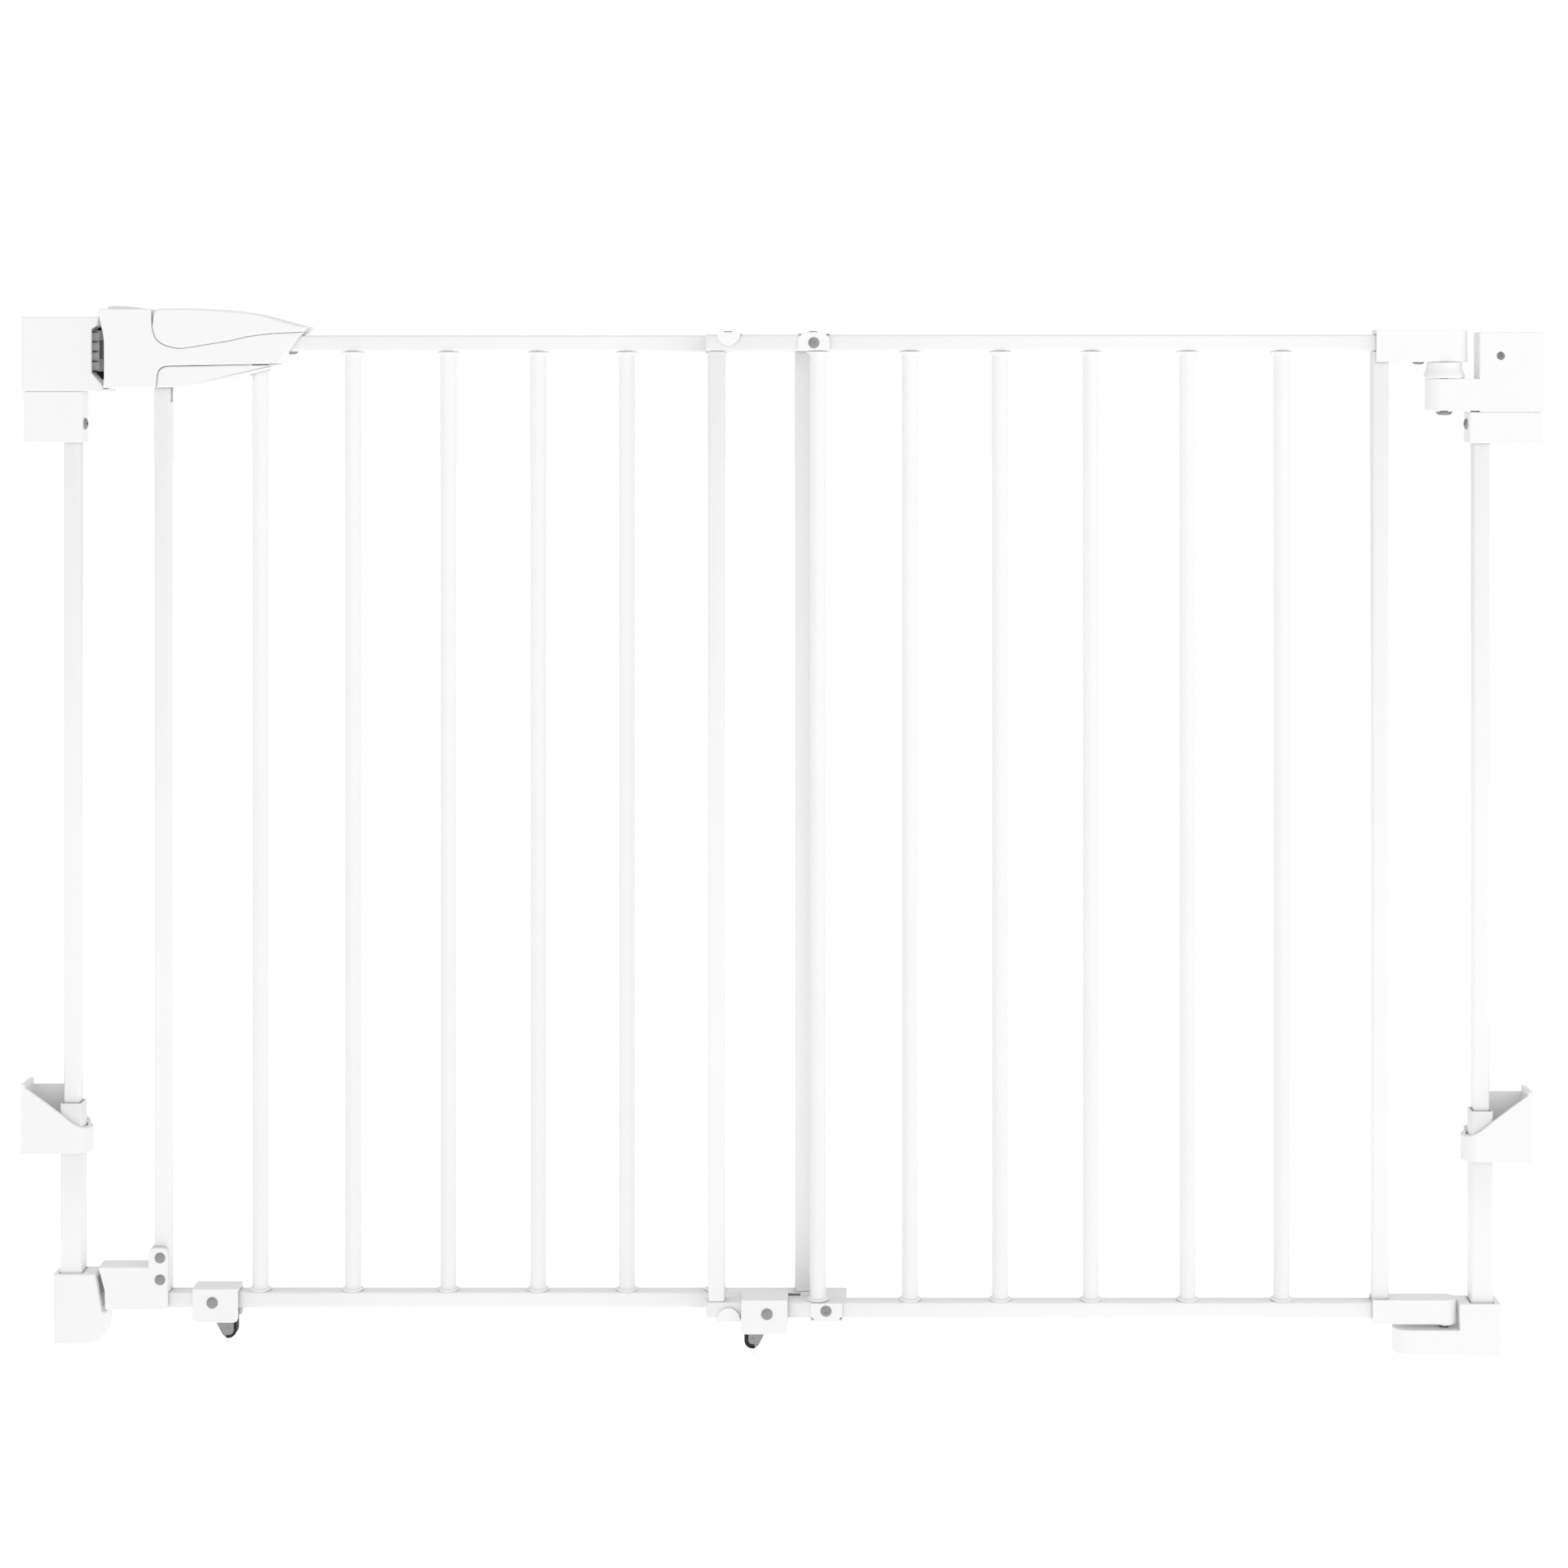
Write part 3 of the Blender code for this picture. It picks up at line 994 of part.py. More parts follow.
def make_lower_bolt_housing():
    """Case of the lower bolt, clasped round the foot of the rear panel's left post."""
    outline = [(REAR_LEFT_X + a * MM, b * MM) for a, b in HOUSING_SIDE]
    body = prism("lower_bolt_housing", outline, around(REAR_Y, STRIKE_HALF), "Y", white_plastic(),
                 rim=0.8 * MM)
    x = REAR_LEFT_X
    right = x + 12 * MM
    left = x - END_POST / 2 - TOUCH
    tab_top = HOUSING_SIDE[6][1] * MM
    post = cutter_box((left, right), around(REAR_Y, END_POST / 2 + TOUCH), (BOTTOM_RAIL_Z, tab_top + MM))
    rail = cutter_box((left, right), around(REAR_Y, RAIL_DEPTH / 2 + TOUCH),
                      (0, BOTTOM_RAIL_Z + RAIL_HEIGHT / 2 + TOUCH))
    tunnel = cutter_box((x - 2 * BOLT_TIP, left + MM), around(REAR_Y, BOLT_HALF_DEPTH + SLIDE),
                        around(LOWER_BOLT_Z, BOLT_HEIGHT / 2 + SLIDE))
    return cut(body, post, rail, tunnel)


# ---------------------------------------------------------------- wall scoops

def scoop_cutter(profile, x_wall, side, y_span):
    """Everything above a profile of (distance from the wall, height) points, for some depth."""
    points = [(x_wall + side * a * MM, b * MM) for a, b in profile]
    last = points[-1][0]
    points += [(last, SCOOP_TOP + 5 * MM), (points[0][0], SCOOP_TOP + 5 * MM)]
    return prism("cutter", points, y_span, "Y", white_plastic())


def make_scoop(name, x_post, y, side):
    """Cup that screws to the wall and slides on the outer tube. side is +1 for the latch wall."""
    x_wall = x_post - side * LATCH_STANDOFF
    plan = stadium(x_wall, x_wall + side * SCOOP_LENGTH, y, SCOOP_HALF, reach=SCOOP_ROUND)
    scoop = prism(name, plan, (SCOOP_FOOT, SCOOP_TOP), "Z", white_plastic())
    inner = SCOOP_HALF - SCOOP_WALL
    inside = (x_wall + side * SCOOP_BACK_WALL, x_wall + side * (SCOOP_LENGTH - SCOOP_NOSE_WALL))
    hole = OUTER_TUBE / 2 + SLIDE
    front = (y - 2 * SCOOP_HALF, y + inner)
    back = (y + inner - MM, y + 2 * SCOOP_HALF)
    cut(scoop,
        cutter_box(sorted(inside), around(y, inner), (SCOOP_FOOT + SCOOP_BACK_WALL, SCOOP_TOP + MM)),
        cutter_box(around(x_post, hole), around(y, hole), (SCOOP_FOOT - MM, SCOOP_TOP + MM)),
        scoop_cutter(SCOOP_CUP, x_wall, side, front),
        scoop_cutter(SCOOP_BACK, x_wall, side, back))
    cut(scoop, *[cutter_rod(SCOOP_SCREW_RADIUS, around(x_wall, 5 * MM), (0, y, z), "X", 16)
                 for z in SCOOP_SCREWS])
    return put_origin(smooth(scoop), (x_post, y, SCOOP_FOOT))


# ---------------------------------------------------------------- the whole gate

def main():
    clear_scene()

    front_rails = (FRONT_LEFT_X - END_POST / 2 - FRONT_RAIL_TAIL, FRONT_RIGHT_X + RAIL_INTO_SLEEVE)
    rear_rails = (REAR_LEFT_X - END_POST / 2, REAR_RIGHT_X + REAR_RAIL_TAIL)
    front = make_panel("front", FRONT_LEFT_X, FRONT_RIGHT_X, FRONT_Y, front_rails, FRONT_FIRST_BAR,
                       FRONT_PITCHES)
    rear = make_panel("rear", REAR_LEFT_X, REAR_RIGHT_X, REAR_Y, rear_rails, REAR_FIRST_BAR, REAR_PITCHES)
    slot_z = (FINGER_Z[0] - LEVER_DROP - 2 * MM, FINGER_Z[1] + 2 * MM)
    cut(rear["rear_left_post"], cutter_box((REAR_LEFT_X + MM, REAR_LEFT_X + END_POST),
                                           around(REAR_Y, ROD_SLOT_HALF), slot_z))

    for level, word in ((1, "top"), (-1, "bottom")):
        shift = 0 if level > 0 else REAR_CLIP_SHIFT
        make_clip(f"front_{word}_clip", (FRONT_LEFT_X, FRONT_LEFT_X + FRONT_CLIP_WIDTH), level, "front",
                  FRONT_CLIP_REACH)
        rear_x = REAR_RIGHT_X - REAR_CLIP_INSET + shift
        make_clip(f"rear_{word}_clip", (rear_x, rear_x + REAR_CLIP_WIDTH), level, "rear", REAR_CLIP_REACH)

    make_width_lock("front", FRONT_LEFT_X + FRONT_LOCK_PLACE, FRONT_Y, HINGE_LOCK_HALF, -1,
                    front["front_bottom_rail"])
    make_width_lock("rear", REAR_LEFT_X + REAR_LOCK_PLACE, REAR_Y, LOCK_HALF, 1, rear["rear_bottom_rail"])

    make_hinge_top_bracket()
    make_hinge_bell()
    make_hinge_top_pin()
    make_hinge_sleeve()
    make_hinge_bottom_bracket()
    make_hinge_bottom_pin()
    make_top_sleeve()
    make_bottom_sleeve()
    make_wall_posts("hinge", HINGE_POST_X, FRONT_Y, TOP_RAIL_Z - TOP_BOX_DROP + POST_INTO_BOX)

    make_strike()
    make_strike_insert()
    make_latch_sleeve()
    make_latch_socket()
    make_wall_posts("latch", LATCH_POST_X, REAR_Y, TOP_RAIL_Z)

    make_handle_shells()
    make_grip_cover()
    make_lever()
    make_lever_pin()
    make_thumb_button()
    make_bolt("top_bolt", REAR_LEFT_X - BOLT_TIP, TOP_RAIL_Z - TOP_BOLT_DROP)
    make_bolt("lower_bolt", REAR_LEFT_X - BOLT_TIP, LOWER_BOLT_Z)
    make_pull_rod()
    make_lower_bolt_housing()

    make_scoop("latch_scoop", LATCH_POST_X, REAR_Y, 1)
    make_scoop("hinge_scoop", HINGE_POST_X, FRONT_Y, -1)


main()
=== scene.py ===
"""Finish and studio for a telescoping two-panel safety gate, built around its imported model.

Lengths are in metres, X runs from the latch wall to the hinge wall, Y from front to back and
Z up.  Handle outlines are in millimetres from the rear panel's left post and top rail.
"""

import json
import math

import bmesh
import bpy
from bpy.props import FloatProperty, FloatVectorProperty, IntProperty, PointerProperty
from mathutils import Matrix, Vector


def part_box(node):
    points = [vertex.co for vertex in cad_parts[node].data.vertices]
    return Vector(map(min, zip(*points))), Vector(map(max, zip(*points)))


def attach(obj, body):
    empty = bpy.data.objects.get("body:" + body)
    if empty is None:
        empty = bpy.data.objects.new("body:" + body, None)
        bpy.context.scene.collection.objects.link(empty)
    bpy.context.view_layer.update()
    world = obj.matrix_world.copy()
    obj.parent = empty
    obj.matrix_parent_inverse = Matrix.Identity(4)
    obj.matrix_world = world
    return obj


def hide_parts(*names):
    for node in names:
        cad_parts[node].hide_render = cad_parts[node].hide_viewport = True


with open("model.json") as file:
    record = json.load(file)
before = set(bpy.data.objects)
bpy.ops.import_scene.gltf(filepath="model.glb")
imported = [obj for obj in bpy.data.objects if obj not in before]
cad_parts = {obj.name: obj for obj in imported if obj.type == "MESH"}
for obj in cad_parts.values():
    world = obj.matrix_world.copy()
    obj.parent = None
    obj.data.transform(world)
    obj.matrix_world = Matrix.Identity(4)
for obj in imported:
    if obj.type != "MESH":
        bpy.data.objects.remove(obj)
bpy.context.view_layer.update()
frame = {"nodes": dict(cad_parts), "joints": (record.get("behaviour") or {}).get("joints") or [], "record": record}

bl_info = {
    "name": "Safety Gate Finish",
    "version": (1, 0, 0),
    "blender": (4, 5, 0),
    "location": "View3D > Sidebar > Safety Gate",
    "description": "Fine surfaces, fittings, finishes and a studio for a two-panel safety gate",
    "category": "Object",
}

MM = 0.001
CAD_SLOTS = {part["node"]: part["material_slot"] for part in frame["record"]["subparts"]}
JOINTS = {joint["name"]: joint for joint in frame["joints"]}


def node_middle(node):
    low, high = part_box(node)
    return (low + high) / 2


# Centre lines that the fittings are placed from
FRONT_Y = node_middle("front_top_rail").y
REAR_Y = node_middle("rear_top_rail").y
TOP_RAIL_Z = node_middle("rear_top_rail").z
BOTTOM_RAIL_Z = node_middle("rear_bottom_rail").z
RAIL_HALF = (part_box("rear_top_rail")[1].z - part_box("rear_top_rail")[0].z) / 2
REAR_LEFT_X = node_middle("rear_left_post").x
HINGE_X = JOINTS["gate_swing"]["pos_m"][0]
HINGE_POST_X = node_middle("hinge_post_outer").x

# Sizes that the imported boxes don't give
BAR_BORE = 4.4 * MM
TUBE_WALL = 1.2 * MM
PIN_CLEARANCE = 3.1 * MM
TOUCH = 0.3 * MM
BRACKET_ARM_RISE = 0.9 * MM
PIN_END_GAP = 0.4 * MM
SLEEVE_SCREW_DROP = 55 * MM
BOLT_CLEARANCE = 0.4 * MM
BUTTON_CLEARANCE = 0.6 * MM
SCOOP_SCREW_HEIGHTS = (149 * MM, 164 * MM)
STUDIO_AIM = (0, 0, 0.4)

# Handle outlines, millimetres from the rear left post and the top rail
LEVER_TOP = [(-2.2, -30.1), (-1.5, -21.8), (0.2, -17.9), (4.1, -15.8), (13.3, -15.5), (79.8, -14.9)]
LEVER_BOTTOM = [(75.9, -16.8), (63.1, -20.7), (50.4, -24.0), (33.5, -27.6), (21.0, -29.3), (10.5, -30.0)]
GRIP_SEAM = [(-4.8, 10.9), (-2.5, 3.7), (1.7, -0.2), (6.6, -2.2), (15.5, -3.5), (33.5, -0.8), (50.4, 2.0),
             (60.6, 4.4), (75.9, 6.4), (97.7, 7.5)]
GRIP_TOP = [(101.2, 11.0), (92.3, 13.2), (80.1, 16.6), (66.8, 20.0), (54.6, 21.9), (41.2, 22.8),
            (24.0, 23.7), (0.2, 23.7), (-3.4, 22.8)]
NOSE_EDGE = [(-40.4, 23.4), (-41.0, 20.3), (-39.3, 11.6), (-37.4, 2.0), (-37.2, -20.2), (-38.0, -30.4)]
END_FACE = [(81.2, -13.9), (88.1, -4.7), (95.3, 5.0)]
BUTTON_SIDE = [(-36.6, 19.4), (-9.9, 19.4), (-9.9, 23.4), (-11.2, 23.9), (-33.6, 25.8), (-35.8, 25.3),
               (-36.6, 24.0)]
LEVER_GAP = 0.3
SEAM_GAP = 0.12
HANDLE_HALF = 16 * MM
SHELL_WALL = 2 * MM
LEVER_HALF = 13 * MM
BUTTON_HALF = 8.8 * MM
HANDLE_DROP = 34 * MM


# ---------------------------------------------------------------- shader arithmetic

class Wire:
    """An output socket of a material, on which Python's operators add Math nodes."""

    def __init__(self, tree, socket=None):
        self.tree = tree
        self.socket = socket

    def node(self, kind, settings=None, values=None, output=0):
        """Add any node: its settings first, then the values or links of its sockets."""
        made = self.tree.nodes.new(kind)
        for key, value in (settings or {}).items():
            if key == "stops":
                set_stops(made.color_ramp, value)
            else:
                setattr(made, key, value)
        for key, value in (values or {}).items():
            if isinstance(value, Wire):
                self.tree.links.new(value.socket, made.inputs[key])
            else:
                made.inputs[key].default_value = value
        return Wire(self.tree, made.outputs[output])

    def math(self, operation, *terms):
        return self.node("ShaderNodeMath", {"operation": operation}, dict(enumerate(terms)))

    def __add__(self, other):
        return self.math("ADD", self, other)

    def __sub__(self, other):
        return self.math("SUBTRACT", self, other)

    def __rsub__(self, other):
        return self.math("SUBTRACT", other, self)

    def __mul__(self, other):
        return self.math("MULTIPLY", self, other)

    __radd__ = __add__
    __rmul__ = __mul__

    def blend(self, low, high):
        """A colour between two, by this value."""
        return self.node("ShaderNodeMix", {"data_type": "RGBA"}, {0: self, 6: low, 7: high}, 2)


def set_stops(ramp, stops):
    """Positions and grey levels of a colour ramp."""
    for index, (place, level) in enumerate(stops):
        stop = ramp.elements[index] if index < 2 else ramp.elements.new(place)
        stop.position = place
        stop.color = (level, level, level, 1)


def shade(colour, factor):
    """A colour made lighter or darker, with its alpha."""
    return (*[min(1.0, part * factor) for part in colour], 1.0)


def start_finish(name, roughness, metallic=0.0, **fixed):
    """A new material, the wire to build on, its Principled shader and the surface's own place."""
    material = bpy.data.materials.new(name)
    material.use_nodes = True
    shader = material.node_tree.nodes["Principled BSDF"]
    shader.inputs["Roughness"].default_value = roughness
    shader.inputs["Metallic"].default_value = metallic
    for socket, value in fixed.items():
        shader.inputs[socket.replace("_", " ")].default_value = value
    paint = Wire(material.node_tree)
    return material, paint, shader, paint.node("ShaderNodeTexCoord", output="Object")


def plug(wire, shader, socket):
    wire.tree.links.new(wire.socket, shader.inputs[socket])


def grain(paint, place, scale, detail=2.0, roughness=0.5):
    """Plain noise at a scale given in features per metre."""
    return paint.node("ShaderNodeTexNoise", values={"Vector": place, "Scale": scale, "Detail": detail,
                                                    "Roughness": roughness})


def relief(paint, height, strength, distance):
    return paint.node("ShaderNodeBump", values={"Height": height, "Strength": strength,
                                                "Distance": distance})


# ---------------------------------------------------------------- finishes

def powder_coat(look):
    """Baked white paint: a fine orange peel, a slow drift in gloss and faint pinholes."""
    material, paint, shader, place = start_finish("powder_coat", 0.36, Coat_Weight=0.12, Coat_Roughness=0.22)
    peel = grain(paint, place, 620, 2.0)
    fine = grain(paint, place, 2600, 1.0)
    drift = grain(paint, place, 24, 3.0)
    pits = paint.node("ShaderNodeTexVoronoi", values={"Vector": place, "Scale": 330.0})
    pinhole = paint.node("ShaderNodeValToRGB", {"stops": [(0.0, 1.0), (0.07, 0.0)]}, {"Fac": pits})
    tone = drift * 0.8 + pinhole * 0.25
    plug(tone.blend(shade(look.white, 1.0), shade(look.white, 0.955)), shader, "Base Color")
    plug(0.30 + drift * 0.12 + fine * 0.04, shader, "Roughness")
    plug(relief(paint, peel + fine * 0.3 - pinhole * 0.5, 0.22, 0.00012), shader, "Normal")
    return material


def moulded_plastic(look):
    """White moulding: spark-eroded grain, broad flow marks and a softer gloss than the paint."""
    material, paint, shader, place = start_finish("moulded_plastic", 0.44, Specular_IOR_Level=0.45)
    flow_place = paint.node("ShaderNodeMapping", values={"Vector": place, "Scale": (1.0, 1.0, 0.28)})
    flow = grain(paint, flow_place, 36, 4.0)
    spark = grain(paint, place, 3400, 2.0, 0.7)
    pebble = paint.node("ShaderNodeTexVoronoi", {"feature": "SMOOTH_F1"}, {"Vector": place, "Scale": 2300.0})
    plug((flow * 0.9).blend(shade(look.plastic, 1.0), shade(look.plastic, 0.965)), shader, "Base Color")
    plug(0.38 + flow * 0.1 + spark * 0.06, shader, "Roughness")
    plug(relief(paint, spark * 0.6 + pebble * 0.4 + flow * 0.5, 0.16, 0.00008), shader, "Normal")
    return material


def nylon(look):
    """Dark grey filled nylon: a mottle of fibres and a matt grain."""
    material, paint, shader, place = start_finish("filled_nylon", 0.5)
    fibre_place = paint.node("ShaderNodeMapping", values={"Vector": place, "Scale": (0.15, 1.0, 1.0),
                                                          "Rotation": (0.0, 0.0, 0.5)})
    fibre = grain(paint, fibre_place, 2200, 2.0)
    mottle = grain(paint, place, 260, 3.0)
    plug((fibre * 0.5 + mottle * 0.5).blend(shade(look.nylon, 0.8), shade(look.nylon, 1.25)), shader,
         "Base Color")
    plug(0.42 + fibre * 0.16, shader, "Roughness")
    plug(relief(paint, fibre + mottle, 0.25, 0.0001), shader, "Normal")
    return material


def zinc_plate(look):
    """Zinc plate: small crystals, fine draw lines and duller patches."""
    material, paint, shader, place = start_finish("zinc_plate", 0.38, 0.9)
    line_place = paint.node("ShaderNodeMapping", values={"Vector": place, "Scale": (0.06, 1.0, 1.0)})
    lines = grain(paint, line_place, 3000, 2.0)
    crystal = paint.node("ShaderNodeTexVoronoi", values={"Vector": place, "Scale": 1400.0}, output="Color")
    patch = grain(paint, place, 320, 3.0)
    facet = paint.node("ShaderNodeSeparateColor", values={"Color": crystal})
    plug((facet * 0.4 + patch * 0.6).blend(shade(look.zinc, 0.82), shade(look.zinc, 1.16)), shader,
         "Base Color")
    plug(0.28 + patch * 0.2 + facet * 0.08, shader, "Roughness")
    plug(relief(paint, lines + facet * 0.4, 0.2, 0.00005), shader, "Normal")
    return material


def rubber(look):
    """Black rubber: a dry bloom over a fine pitted skin."""
    material, paint, shader, place = start_finish("black_rubber", 0.75, Specular_IOR_Level=0.35)
    bloom = grain(paint, place, 300, 4.0)
    pits = grain(paint, place, 4200, 1.0)
    plug((bloom * bloom).blend(shade(look.rubber, 1.0), shade(look.rubber, 2.4)), shader, "Base Color")
    plug(0.62 + bloom * 0.22, shader, "Roughness")
    plug(relief(paint, pits, 0.3, 0.0001), shader, "Normal")
    return material


FINISHES = {
    "white_steel": ("powder_coat", powder_coat),
    "white_plastic": ("moulded_plastic", moulded_plastic),
    "grey_plastic": ("filled_nylon", nylon),
    "zinc": ("zinc_plate", zinc_plate),
    "black_rubber": ("black_rubber", rubber),
}


def finish_for(slot):
    """The finish of a record slot, made once."""
    name, maker = FINISHES[slot]
    return bpy.data.materials.get(name) or maker(bpy.context.scene.gate_look)


# ---------------------------------------------------------------- mesh tools

def settle(item, body, slot, *nodes):
    """Give a piece its finish, the body that it moves with and the nodes that it stands for."""
    item.data.materials.clear()
    item.data.materials.append(finish_for(slot))
    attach(item, body)
    if nodes:
        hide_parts(*nodes)
    return item


def new_item(name, bm):
    """Turn a bmesh into a named object with its faces turned outwards."""
    bmesh.ops.recalc_face_normals(bm, faces=bm.faces)
    mesh = bpy.data.meshes.new(name)
    bm.to_mesh(mesh)
    bm.free()
    item = bpy.data.objects.new(name, mesh)
    bpy.context.scene.collection.objects.link(item)
    return item


def shade_soft(item, angle=38, even=False):
    """Smooth shading, with creases where the surface turns sharply; even keeps flat faces flat."""
    item.data.shade_smooth()
    item.data.set_sharp_from_angle(angle=math.radians(angle))
    if even:
        normals = item.modifiers.new("even_normals", "WEIGHTED_NORMAL")
        normals.keep_sharp = True
    return item


def round_edges(item, width, segments=3, angle=32):
    """Round every crease of a piece, inner and outer."""
    bevel = item.modifiers.new("round_edges", "BEVEL")
    bevel.width = width
    bevel.segments = segments
    bevel.limit_method = "ANGLE"
    bevel.angle_limit = math.radians(angle)
    bevel.miter_outer = "MITER_ARC"
    return shade_soft(item, 60, even=True)


def around(middle, half):
    return (middle - half, middle + half)


def prism(name, outline, span, axis="Y"):
    """Extrude an outline along Y (points are x, z) or Z (points are x, y)."""
    bm = bmesh.new()
    if axis == "Y":
        loop = [bm.verts.new((a, span[0], b)) for a, b in outline]
        push = Vector((0, span[1] - span[0], 0))
    else:
        loop = [bm.verts.new((a, b, span[0])) for a, b in outline]
        push = Vector((0, 0, span[1] - span[0]))
    grown = bmesh.ops.extrude_face_region(bm, geom=[bm.faces.new(loop)])
    moved = [part for part in grown["geom"] if isinstance(part, bmesh.types.BMVert)]
    bmesh.ops.translate(bm, vec=push, verts=moved)
    return new_item(name, bm)


def skin(bm, rings, closed=False):
    """Join rings of equally many points; a closed skin returns to the first, an open one is capped."""
    following = rings[1:] + rings[:1] if closed else rings[1:]
    count = len(rings[0])
    for first, second in zip(rings, following):
        for index in range(count):
            after = (index + 1) % count
            bm.faces.new((first[index], first[after], second[after], second[index]))
    if not closed:
        bm.faces.new(rings[0])
        bm.faces.new(rings[-1])


def rimmed(name, outline, y, rims, steps=5):
    """A solid between two heights of y whose side faces meet the rim in a quarter round.

    outline holds anticlockwise x and z; rims are the radii at the first and the last y.
    """
    front, back = y
    levels = []
    for step in range(steps + 1):
        angle = math.pi / 2 * step / steps
        levels.append((front + rims[0] * (1 - math.cos(angle)), rims[0] * (1 - math.sin(angle))))
    for step in range(steps + 1):
        angle = math.pi / 2 * (1 - step / steps)
        levels.append((back - rims[1] * (1 - math.cos(angle)), rims[1] * (1 - math.sin(angle))))
    bm = bmesh.new()
    rings = [[bm.verts.new((a, place, b)) for a, b in inset(outline, distance)]
             for place, distance in levels]
    skin(bm, rings)
    bmesh.ops.remove_doubles(bm, verts=bm.verts, dist=1e-7)
    return new_item(name, bm)


def block(name, x, y, z):
    return prism(name, [(x[0], z[0]), (x[1], z[0]), (x[1], z[1]), (x[0], z[1])], y)


def arc(centre, radius, start, end, steps):
    """Points of an arc, its angles in degrees."""
    angles = [math.radians(start + (end - start) * step / steps) for step in range(steps + 1)]
    return [(centre[0] + radius * math.cos(angle), centre[1] + radius * math.sin(angle)) for angle in angles]


def turned(name, profile, centre, axis="Z", sides=48, ring=False):
    """Spin (radius, height) points about an axis through centre; a ring's profile is closed."""
    bm = bmesh.new()
    points = [bm.verts.new((radius, 0, height)) for radius, height in profile]
    pairs = list(zip(points, points[1:]))
    if ring:
        pairs.append((points[-1], points[0]))
    edges = [bm.edges.new(pair) for pair in pairs]
    bmesh.ops.spin(bm, geom=points + edges, cent=(0, 0, 0), axis=(0, 0, 1), dvec=(0, 0, 0),
                   angle=2 * math.pi, steps=sides, use_merge=True)
    bmesh.ops.remove_doubles(bm, verts=bm.verts, dist=1e-7)
    bmesh.ops.transform(bm, matrix=Matrix.Translation(centre) @ AXIS_TURNS[axis], verts=bm.verts)
    return shade_soft(new_item(name, bm))


AXIS_TURNS = {
    "X": Matrix.Rotation(math.pi / 2, 4, "Y"), "-X": Matrix.Rotation(-math.pi / 2, 4, "Y"),
    "Y": Matrix.Rotation(-math.pi / 2, 4, "X"), "-Y": Matrix.Rotation(math.pi / 2, 4, "X"),
    "Z": Matrix.Identity(4), "-Z": Matrix.Rotation(math.pi, 4, "X"),
}


def rod(name, radius, span, centre, axis="Z", sides=48):
    """A round bar; span is along its axis, which passes through centre."""
    return turned(name, [(0, span[0]), (radius, span[0]), (radius, span[1]), (0, span[1])], centre, axis,
                  sides)


def combine(item, others, operation):
    """Boolean with exact solids at millimetre size, after which the others are dropped."""
    for part in (item, *others):
        part.data.transform(Matrix.Scale(1 / MM, 4))
    for other in others:
        step = item.modifiers.new(operation.lower(), "BOOLEAN")
        step.operation = operation
        step.solver = "EXACT"
        step.object = other
    bpy.context.view_layer.update()
    result = bpy.data.meshes.new_from_object(item.evaluated_get(bpy.context.evaluated_depsgraph_get()))
    item.modifiers.clear()
    result.transform(Matrix.Scale(MM, 4))
    item.data = result
    for other in others:
        bpy.data.objects.remove(other, do_unlink=True)
    return item


def carve(item, *cutters):
    return combine(item, cutters, "DIFFERENCE")


def fuse(item, *parts):
    return combine(item, parts, "UNION")


def common(item, *parts):
    return combine(item, parts, "INTERSECT")


def flowing(points, steps=5):
    """A smooth line through points."""
    line = []
    for index in range(len(points) - 1):
        before = Vector(points[max(index - 1, 0)])
        here = Vector(points[index])
        after = Vector(points[index + 1])
        beyond = Vector(points[min(index + 2, len(points) - 1)])
        for step in range(steps):
            t = step / steps
            line.append(tuple(0.5 * (2 * here + (after - before) * t
                                     + (2 * before - 5 * here + 4 * after - beyond) * t ** 2
                                     + (3 * here - before - 3 * after + beyond) * t ** 3)))
    return line + [tuple(points[-1])]


def rounded_corner(points, index, radius, steps=4):
    """The same outline with one of its corners turned into an arc-like curve."""
    corner = Vector(points[index])
    before = (Vector(points[index - 1]) - corner).normalized() * radius + corner
    after = (Vector(points[(index + 1) % len(points)]) - corner).normalized() * radius + corner
    bend = []
    for step in range(steps + 1):
        t = step / steps
        bend.append(tuple(before * (1 - t) ** 2 + corner * 2 * t * (1 - t) + after * t ** 2))
    return points[:index] + bend + points[index + 1:]


def stadium(x_flat, x_round, y, half, reach=None, steps=36):
    """Plan outline: flat at x_flat, and a round end at x_round of the given half width."""
    reach = half if reach is None else reach
    side = 1 if x_round > x_flat else -1
    middle = x_round - side * reach
    points = [(x_flat, y - side * half)]
    for step in range(steps + 1):
        angle = math.pi * step / steps - math.pi / 2
        points.append((middle + side * reach * math.cos(angle), y + side * half * math.sin(angle)))
    points.append((x_flat, y + side * half))
    return points


def inset(points, distance):
    """Move every side of an anticlockwise outline inwards and meet the sides again."""
    result = []
    for index, point in enumerate(points):
        here = Vector(point)
        one = (here - Vector(points[index - 1])).normalized()
        two = (Vector(points[(index + 1) % len(points)]) - here).normalized()
        left_one = Vector((-one.y, one.x))
        bisector = (left_one + Vector((-two.y, two.x))).normalized()
        result.append(tuple(here + bisector * (distance / max(bisector.dot(left_one), 0.4))))
    return result


def box_of(node, grow=0.0):
    """A node's limits on each axis, grown by a gap."""
    low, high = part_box(node)
    return [(low[axis] - grow, high[axis] + grow) for axis in range(3)]


def box_cutter(node, grow=TOUCH, **limits):
    """A cutter as large as a node's box, with any axis replaced."""
    x, y, z = box_of(node, grow)
    return block("cutter", limits.get("x", x), limits.get("y", y), limits.get("z", z))


# ---------------------------------------------------------------- rails, posts and bars

